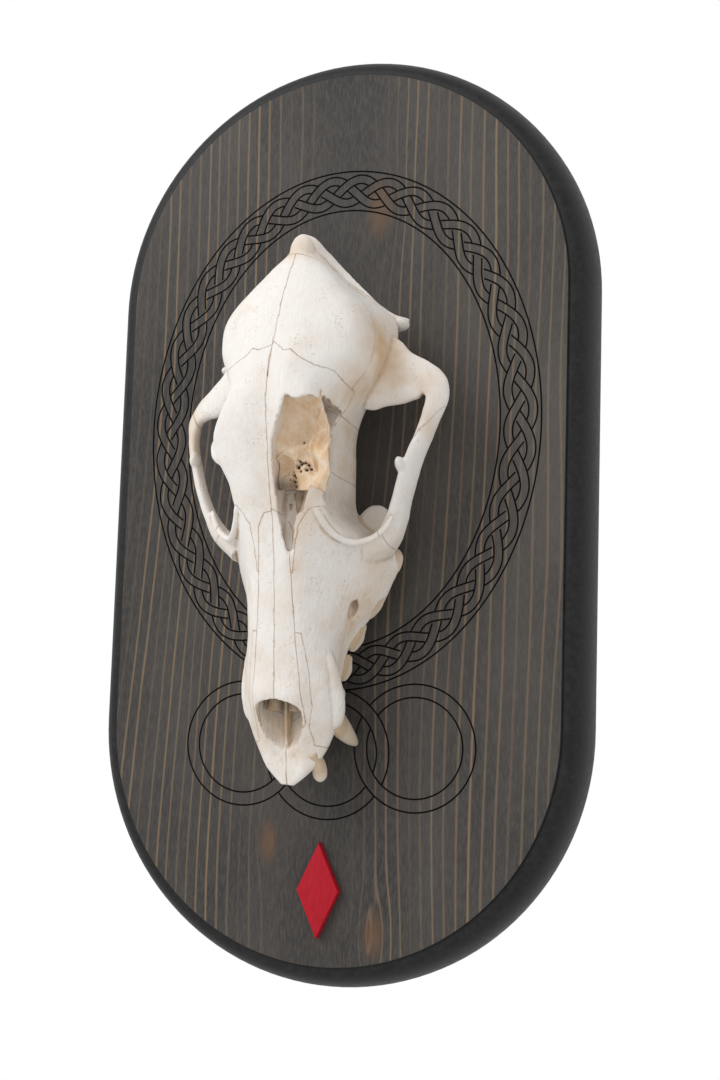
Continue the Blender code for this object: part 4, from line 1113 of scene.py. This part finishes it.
scrolls = scroll("nose_scrolls", (3.8, 140.0, 19.0), (4.6, 172.0, 14.5), 3.4, 1.6, 1.0)
more = [scroll("scroll", (-3.8, 140.0, 19.0), (-4.8, 172.0, 14.5), 3.4, -1.6, 2.0),
        scroll("scroll", (3.4, 100.0, 39.0), (5.2, 122.0, 31.0), 1.6, 1.3, 3.0, 0.7),
        scroll("scroll", (6.6, 96.0, 41.0), (6.2, 118.0, 33.5), 2.2, -1.4, 4.0, 0.8)]
combine(scrolls, more, "UNION")
u, v = np.meshgrid(np.linspace(0, 1, 60), np.linspace(0, 1, 24), indexing="ij")
septum_points = np.stack((0.35 * np.sin(7 * u) * v, 138 + 46 * u, 8.0 + v * (11.0 - 8.5 * u ** 1.5)), axis=-1)
septum = sheet_solid("nose_septum", septum_points, 1.1)

old_bone, tree, shader = new_paint("stained_inner_bone_with_painted_shade")
blotch = noise(tree, stretched(tree, (1.0, 1.0, 1.0)), 260.0, 5.0, 0.65)
painted_deep_shade = attribute(tree, "deep_shade")
colour = mix(tree, curve(tree, blotch, 0.38, 0.66), (0.70, 0.49, 0.30), (0.80, 0.68, 0.53))
# Painted shade: this value darkens the inner bone nearly to black, as shade in the nose, the slit and the pores.
colour = mix(tree, curve(tree, painted_deep_shade, 0.0, 1.0, 0.0, 0.97), colour, (0.075, 0.045, 0.026))
tree.links.new(colour, shader.inputs["Base Color"])
shader.inputs["Roughness"].default_value = 0.7
tree.links.new(bump(tree, blotch, 0.0002, 0.5), shader.inputs["Normal"])
for thing in (sinus_floor, scrolls, septum):
    spots = unlay(coordinates(thing.data))
    # How much painted shade each piece gets: most in the lining's pores and towards the slit, much on the scrolls,
    # less on the septum.
    if thing is sinus_floor:
        deep_shade = np.zeros(len(spots))
        for x, y, r in PORES:
            away = np.hypot(spots[:, 0] - x, spots[:, 1] - y) / r
            deep_shade = np.maximum(deep_shade, np.clip(1.6 - 1.3 * away, 0, 1))
        slit_shade = np.clip((spots[:, 1] - 90.5) / 4.5, 0, 1) * np.clip((10.0 - spots[:, 0]) / 2.0, 0, 1)
        deep_shade = np.maximum(deep_shade, 0.75 * slit_shade)
    elif thing is scrolls:
        deep_shade = 0.55 + 0.25 * wander(spots, 3.0, 31)
    else:
        deep_shade = 0.25 + 0.2 * wander(spots, 4.0, 32)
    write_value(thing.data, "deep_shade", np.clip(deep_shade, 0, 1))
    thing.data.materials.clear()
    thing.data.materials.append(old_bone)
    thing.data.shade_smooth()
    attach(thing, "root")
print("scrolls:", len(scrolls.data.vertices), "corners")

# %% [markdown]
# ## The board
# The board is an oval of soft wood, stained dark, with a rounded black edge and a small step up to its face. Its
# section is carried round the outline. The engraved plait is real: lines are swept as thin tubes that sink into
# the face, and a Boolean cuts them out. A strand of the plait has two edge lines, and where it dives under another
# strand its lines are left out.

# %% Board
BOARD_HALF_WIDTH = 100.0
BOARD_STRAIGHT_HALF = 84.0
BOARD_THICKNESS = 19.5
FACE_INSET = 8.7
STEP_UP = 1.1
SIDE_HEIGHT = 3.0


def stadium(inset, depth, segments=64):
    """The outline of two half circles joined by straight sides, drawn in by an inset, at a depth off the wall."""
    turn = np.linspace(0, np.pi, segments + 1)
    radius = BOARD_HALF_WIDTH - inset
    top = np.column_stack((radius * np.cos(turn), BOARD_STRAIGHT_HALF + radius * np.sin(turn)))
    outline = np.concatenate((top, -top))
    return np.column_stack((outline[:, 0], np.full(len(outline), -depth), outline[:, 1]))


def board():
    """Rings from the back over the rounded shoulder and the step to the face, closed flat at both ends."""
    shoulder = BOARD_THICKNESS - STEP_UP
    turn = np.linspace(0, np.pi / 2, 14)
    rows = [(0.8, 0.0), (0.25, 0.25), (0.0, 0.8)]
    ledge = FACE_INSET - 0.9
    rows += [(ledge * (1 - math.cos(a)), SIDE_HEIGHT + (shoulder - SIDE_HEIGHT) * math.sin(a)) for a in turn]
    rows += [(FACE_INSET, shoulder), (FACE_INSET + 0.1, BOARD_THICKNESS - 0.25), (FACE_INSET + 0.35, BOARD_THICKNESS)]
    rings = np.stack([stadium(*row) for row in rows])
    count, around = rings.shape[:2]
    quads = tube_faces(count, around)[:(count - 1) * around]
    ends = [tuple(range(around)), tuple(range((count - 1) * around, count * around))]
    made = thing_of("board", rings.reshape(-1, 3) * MM, quads + ends)
    face_outwards(made.data)
    return made


# %% Plait
RING_MIDDLE = (0.7, 32.0)
RING_OUTER = (81.0, 103.0)
RING_WIDTH = 16.0
STRAND_HALF = 1.7
STRAND_SWING = 4.8
STRAND_WAVES = 13
PLAIT_STEPS = 2600
PLAIT_SKIP = 4
LOOPS = (((-35.0, -92.0), 24.0), ((35.0, -92.0), 24.0), ((0.0, -95.0), 25.0))
LOOP_BAND = 5.0
LOOP_LEVEL = -93.0
CIRCLE_STEPS = 420
SHORTEST_RUN = 12
GROOVE_HALF = 0.36
GROOVE_DEPTH = 0.55


def oval(turn, inset):
    """A place on the ring's middle line moved inwards by an inset."""
    a, b = RING_OUTER[0] - inset, RING_OUTER[1] - inset
    return np.column_stack((RING_MIDDLE[0] + a * np.cos(turn), RING_MIDDLE[1] + b * np.sin(turn)))


def offset_line(path, distance):
    """A closed flat path moved to its left by a distance."""
    run = np.roll(path, -1, 0) - np.roll(path, 1, 0)
    run /= np.linalg.norm(run, axis=1)[:, None]
    return path + distance * np.column_stack((-run[:, 1], run[:, 0]))


def groove(path, closed):
    """A thin five-sided tube along a flat path on the face of the board, as corners and faces."""
    run = np.gradient(path, axis=0)
    if closed:
        run = np.roll(path, -1, 0) - np.roll(path, 1, 0)
    run /= np.linalg.norm(run, axis=1)[:, None] + 1e-9
    aside = np.column_stack((-run[:, 1], run[:, 0]))
    section = ((-1.0, 0.4), (-0.75, -0.7), (0.0, -1.0), (0.75, -0.7), (1.0, 0.4))
    rings = np.empty((len(path), len(section), 3))
    for k, (w, d) in enumerate(section):
        flat = path + aside * GROOVE_HALF * w
        rings[:, k, 0], rings[:, k, 2] = flat[:, 0], flat[:, 1]
        rings[:, k, 1] = -(BOARD_THICKNESS + GROOVE_DEPTH * d)
    count, around = len(path), len(section)
    corners = rings.reshape(-1, 3)
    if closed:
        r, k = np.meshgrid(np.arange(count), np.arange(around), indexing="ij")
        n, m = (r + 1) % count, (k + 1) % around
        faces = np.stack((r * around + k, r * around + m, n * around + m, n * around + k), -1).reshape(-1, 4).tolist()
        return corners, faces
    faces = tube_faces(count, around)[:(count - 1) * around]
    faces += [tuple(range(around))[::-1], tuple(range((count - 1) * around, count * around))]
    return corners, faces


def runs(mask):
    """The unbroken stretches of a mask along a closed line, as lists of indices, without very short ones."""
    keep = np.flatnonzero(mask)
    if len(keep) == len(mask):
        return [keep]
    parts = np.split(keep, np.flatnonzero(np.diff(keep) > 1) + 1)
    if mask[0] and mask[-1]:
        parts[0] = np.concatenate((parts.pop(), parts[0]))
    return [part for part in parts if len(part) > SHORTEST_RUN]


def plait_lines():
    """Three strands that swing across the ring, each a third of a wave after the one before.

    Every strand dives under the next one, so it runs over one and under the other by turns. Its edge lines are
    left out where the covering strand lies."""
    turn = np.linspace(0, 2 * np.pi, PLAIT_STEPS, endpoint=False)
    middles = [oval(turn, RING_WIDTH / 2 + STRAND_SWING * np.sin(STRAND_WAVES * turn + 2 * np.pi * k / 3))
               for k in range(3)]
    lines = []
    for k, middle in enumerate(middles):
        cover = middles[(k + 1) % 3][None, ::3]
        for edge in (-STRAND_HALF, STRAND_HALF):
            line = offset_line(middle, edge)
            away = np.sqrt(np.min(np.sum((line[:, None] - cover) ** 2, axis=2), axis=1))
            lines.append((line, away > STRAND_HALF))
    return lines


def loop_lines():
    """The two circles of each linked ring, left out under the ring that covers them and under the plait.

    Of two rings the later one lies on top above the level of their middles, and below in the lower half."""
    turn = np.linspace(0, 2 * np.pi, CIRCLE_STEPS, endpoint=False)
    lines = []
    for i, (middle, radius) in enumerate(LOOPS):
        for r in (radius, radius - LOOP_BAND):
            circle = np.array(middle) + r * np.column_stack((np.cos(turn), np.sin(turn)))
            upper = circle[:, 1] > LOOP_LEVEL
            hidden = np.sum(((circle - RING_MIDDLE) / RING_OUTER) ** 2, axis=1) < 1
            for j, (other, other_radius) in enumerate(LOOPS):
                if i != j:
                    away = np.linalg.norm(circle - np.array(other), axis=1)
                    in_band = (away < other_radius) & (away > other_radius - LOOP_BAND)
                    hidden |= in_band & (upper if i < j else ~upper)
            lines.append((circle, ~hidden))
    return lines


def cutter(line, seen, skip):
    """One solid of grooves along the stretches of a closed line that are seen, thinned to every few points."""
    corners, faces, start = [], [], 0
    for part in runs(seen):
        spots, own = groove(line[part][::skip], len(part) == len(line))
        corners.append(spots)
        faces += [tuple(i + start for i in face) for face in own]
        start += len(spots)
    made = thing_of("groove", np.concatenate(corners) * MM, faces)
    face_outwards(made.data)
    return made


plaque = board()
circle_turn = np.linspace(0, 2 * np.pi, CIRCLE_STEPS, endpoint=False)
everywhere = np.ones(CIRCLE_STEPS, bool)
grooves = [cutter(oval(circle_turn, inset), everywhere, 1) for inset in (0.0, RING_WIDTH)]
grooves += [cutter(line, seen, PLAIT_SKIP) for line, seen in plait_lines()]
grooves += [cutter(line, seen, 1) for line, seen in loop_lines()]
print("grooves:", [len(thing.data.polygons) for thing in grooves])
combine(plaque, grooves, "DIFFERENCE")
print("board:", len(plaque.data.polygons), "faces")

# %% [markdown]
# The wood is pine under a dark grey stain. The stain takes well in the soft wood and leaves the hard late wood as
# thin tan lines that run up the board, far apart in places and close in others, with two or three knots. The
# rounded edge and the engraved lines are black.

# %% Stained pine
KNOTS = ((-23.2, -129.6, 5.0), (20.7, -161.7, 5.5), (14.9, 118.2, 7.0))


def grain(tree):
    """The place across the grain, waved slowly and pushed aside by the knots, and how near a knot's core is."""
    where = node(tree, "ShaderNodeTexCoord").outputs["Object"]
    axes = node(tree, "ShaderNodeSeparateXYZ", {"Vector": where})
    x, z = axes.outputs["X"], axes.outputs["Z"]
    slow = noise(tree, stretched(tree, (5.0, 5.0, 2.2)), 1.0, 2.0)
    fine = noise(tree, stretched(tree, (90.0, 90.0, 9.0)), 1.0, 3.0)
    shift = maths(tree, "MULTIPLY", maths(tree, "SUBTRACT", slow, 0.5), 0.055)
    shift = maths(tree, "ADD", shift, maths(tree, "MULTIPLY", maths(tree, "SUBTRACT", fine, 0.5), 0.0022))
    nearness = None
    for kx, kz, radius in KNOTS:
        away = node(tree, "ShaderNodeVectorMath",
                    {0: where, 1: (kx * MM, -BOARD_THICKNESS * MM, kz * MM)}, operation="SUBTRACT").outputs[0]
        flat = node(tree, "ShaderNodeVectorMath", {0: away, 1: (1.0, 0.0, 0.45)}, operation="MULTIPLY").outputs[0]
        distance = node(tree, "ShaderNodeVectorMath", {0: flat}, operation="LENGTH").outputs["Value"]
        near = curve(tree, distance, 0.0, radius * 2.4 * MM, 1.0, 0.0)
        push = maths(tree, "MULTIPLY", maths(tree, "MULTIPLY", near, near),
                     curve(tree, maths(tree, "SUBTRACT", x, kx * MM), -0.002, 0.002, -radius * MM, radius * MM))
        shift = maths(tree, "SUBTRACT", shift, push)
        core_near = curve(tree, distance, 0.25 * radius * MM, 0.95 * radius * MM, 1.0, 0.0)
        nearness = core_near if nearness is None else maths(tree, "MAXIMUM", nearness, core_near)
    return maths(tree, "ADD", x, shift), nearness


LINE_SPACING = 0.0046
stained_pine, tree, shader = new_paint("stained_pine")
across, knot = grain(tree)
stripe = maths(tree, "SINE", maths(tree, "MULTIPLY", across, 2 * math.pi / LINE_SPACING), 0.0)
growth = node(tree, "ShaderNodeCombineXYZ", {"X": maths(tree, "MULTIPLY", across, 60.0)}).outputs[0]
late = curve(tree, stripe, 0.70, 0.99)
late = maths(tree, "MULTIPLY", late, curve(tree, noise(tree, growth, 1.0, 1.0), 0.38, 0.62, 0.15, 1.0))
from_middle = maths(tree, "ABSOLUTE", across, 0.0)
late = maths(tree, "MULTIPLY", late, curve(tree, from_middle, 0.010, 0.034))
speck = noise(tree, stretched(tree, (1500.0, 1500.0, 260.0)), 1.0, 5.0, 0.7)
cloudy = noise(tree, stretched(tree, (16.0, 16.0, 7.0)), 1.0, 4.0, 0.55)
colour = mix(tree, curve(tree, cloudy, 0.3, 0.72), (0.026, 0.025, 0.025), (0.078, 0.069, 0.061))
colour = mix(tree, curve(tree, speck, 0.42, 0.70, 0.0, 0.5), colour, (0.115, 0.101, 0.088))
colour = mix(tree, maths(tree, "MULTIPLY", late, 0.75), colour, (0.235, 0.165, 0.10))
colour = mix(tree, maths(tree, "MULTIPLY", knot, 0.6), colour, (0.15, 0.08, 0.04))
tree.links.new(colour, shader.inputs["Base Color"])
shader.inputs["Roughness"].default_value = 0.55
shader.inputs["Specular IOR Level"].default_value = 0.2
relief = bump(tree, speck, 0.00012, 0.5)
relief = bump(tree, late, 0.00015, 0.5, relief)
tree.links.new(relief, shader.inputs["Normal"])

black_edge, tree, shader = new_paint("black_edge")
brush = noise(tree, stretched(tree, (420.0, 420.0, 420.0)), 1.0, 5.0, 0.6)
colour = mix(tree, curve(tree, brush, 0.4, 0.7), (0.0075, 0.0075, 0.008), (0.019, 0.019, 0.020))
tree.links.new(colour, shader.inputs["Base Color"])
tree.links.new(curve(tree, brush, 0.3, 0.7, 0.42, 0.6), shader.inputs["Roughness"])
tree.links.new(bump(tree, brush, 0.0002, 0.4), shader.inputs["Normal"])
shader.inputs["Specular IOR Level"].default_value = 0.25

burnt_line, tree, shader = new_paint("burnt_line")
char = noise(tree, stretched(tree, (900.0, 900.0, 900.0)), 1.0, 3.0)
tree.links.new(mix(tree, char, (0.004, 0.004, 0.004), (0.012, 0.010, 0.009)), shader.inputs["Base Color"])
shader.inputs["Roughness"].default_value = 0.8
shader.inputs["Specular IOR Level"].default_value = 0.1

mesh = plaque.data
mesh.materials.clear()
for paint in (stained_pine, black_edge, burnt_line):
    mesh.materials.append(paint)
centres = np.empty(len(mesh.polygons) * 3, np.float32)
mesh.polygons.foreach_get("center", centres)
cx, cy, cz = centres.reshape(-1, 3).T / MM
edge_away = np.hypot(cx, np.maximum(np.abs(cz) - BOARD_STRAIGHT_HALF, 0))
on_rim = edge_away > BOARD_HALF_WIDTH - FACE_INSET - 0.3
kind = np.where(on_rim, 1, np.where(cy > -BOARD_THICKNESS + 0.02, 2, 0))
kind = np.where(cy > -1.0, 0, kind)
mesh.polygons.foreach_set("material_index", kind.astype(np.int32))
mesh.shade_smooth()
mesh.set_sharp_from_angle(angle=math.radians(30))
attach(plaque, "root")
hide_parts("plaque")
print("board faces by finish:", np.bincount(kind).tolist())

# %% [markdown]
# ## The red lozenge and the posts
# A thin wooden lozenge, painted matt red, is glued to the foot of the board. Its rings shrink towards the front,
# which rounds its edge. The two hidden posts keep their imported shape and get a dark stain.

# %% Lozenge and posts
def lozenge():
    """Rings of a diamond: full size at the back, a little smaller over the rounded edge, and flat in front."""
    side = np.linspace(0, 1, 12, endpoint=False)[:, None]
    points = np.array(((8.5, 0.0), (0.0, 18.0), (-8.5, 0.0), (0.0, -18.0)))
    rim = np.concatenate([a + (b - a) * side for a, b in zip(points, np.roll(points, -1, 0))])
    rows = [(1.0, 0.0), (1.0, 2.3), (0.992, 2.7), (0.972, 2.93), (0.94, 3.0)]
    rings = [np.column_stack((s * rim[:, 0] - 1.1, np.full(len(rim), -BOARD_THICKNESS - 0.3 - d),
                              s * rim[:, 1] - 146.5)) for s, d in rows]
    rings = np.stack(rings)
    count, around = rings.shape[:2]
    ends = np.stack((rings[0].mean(axis=0), rings[-1].mean(axis=0)))
    return thing_of("lozenge", np.concatenate((rings.reshape(-1, 3), ends)) * MM, tube_faces(count, around))


red_paint, tree, shader = new_paint("matt_red_paint")
strokes = noise(tree, stretched(tree, (700.0, 700.0, 220.0)), 1.0, 4.0)
colour = mix(tree, curve(tree, strokes, 0.35, 0.7), (0.36, 0.004, 0.014), (0.43, 0.007, 0.020))
tree.links.new(colour, shader.inputs["Base Color"])
shader.inputs["Roughness"].default_value = 0.5
shader.inputs["Specular IOR Level"].default_value = 0.2
tree.links.new(bump(tree, strokes, 0.0001, 0.5), shader.inputs["Normal"])
sign = lozenge()
sign.data.materials.append(red_paint)
sign.data.shade_smooth()
sign.data.set_sharp_from_angle(angle=math.radians(35))
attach(sign, "root")
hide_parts("red_lozenge")

dark_dowel, tree, shader = new_paint("dark_dowel")
wood = noise(tree, stretched(tree, (700.0, 60.0, 700.0)), 1.0, 4.0)
tree.links.new(mix(tree, wood, (0.03, 0.026, 0.022), (0.07, 0.06, 0.05)), shader.inputs["Base Color"])
shader.inputs["Roughness"].default_value = 0.6
for name in ("mounting_post_rear", "mounting_post_front"):
    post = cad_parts[name]
    for slot in post.material_slots:
        slot.material = dark_dowel
print("lozenge and posts dressed")

# %% Sizes
print("packed box", cad_box)
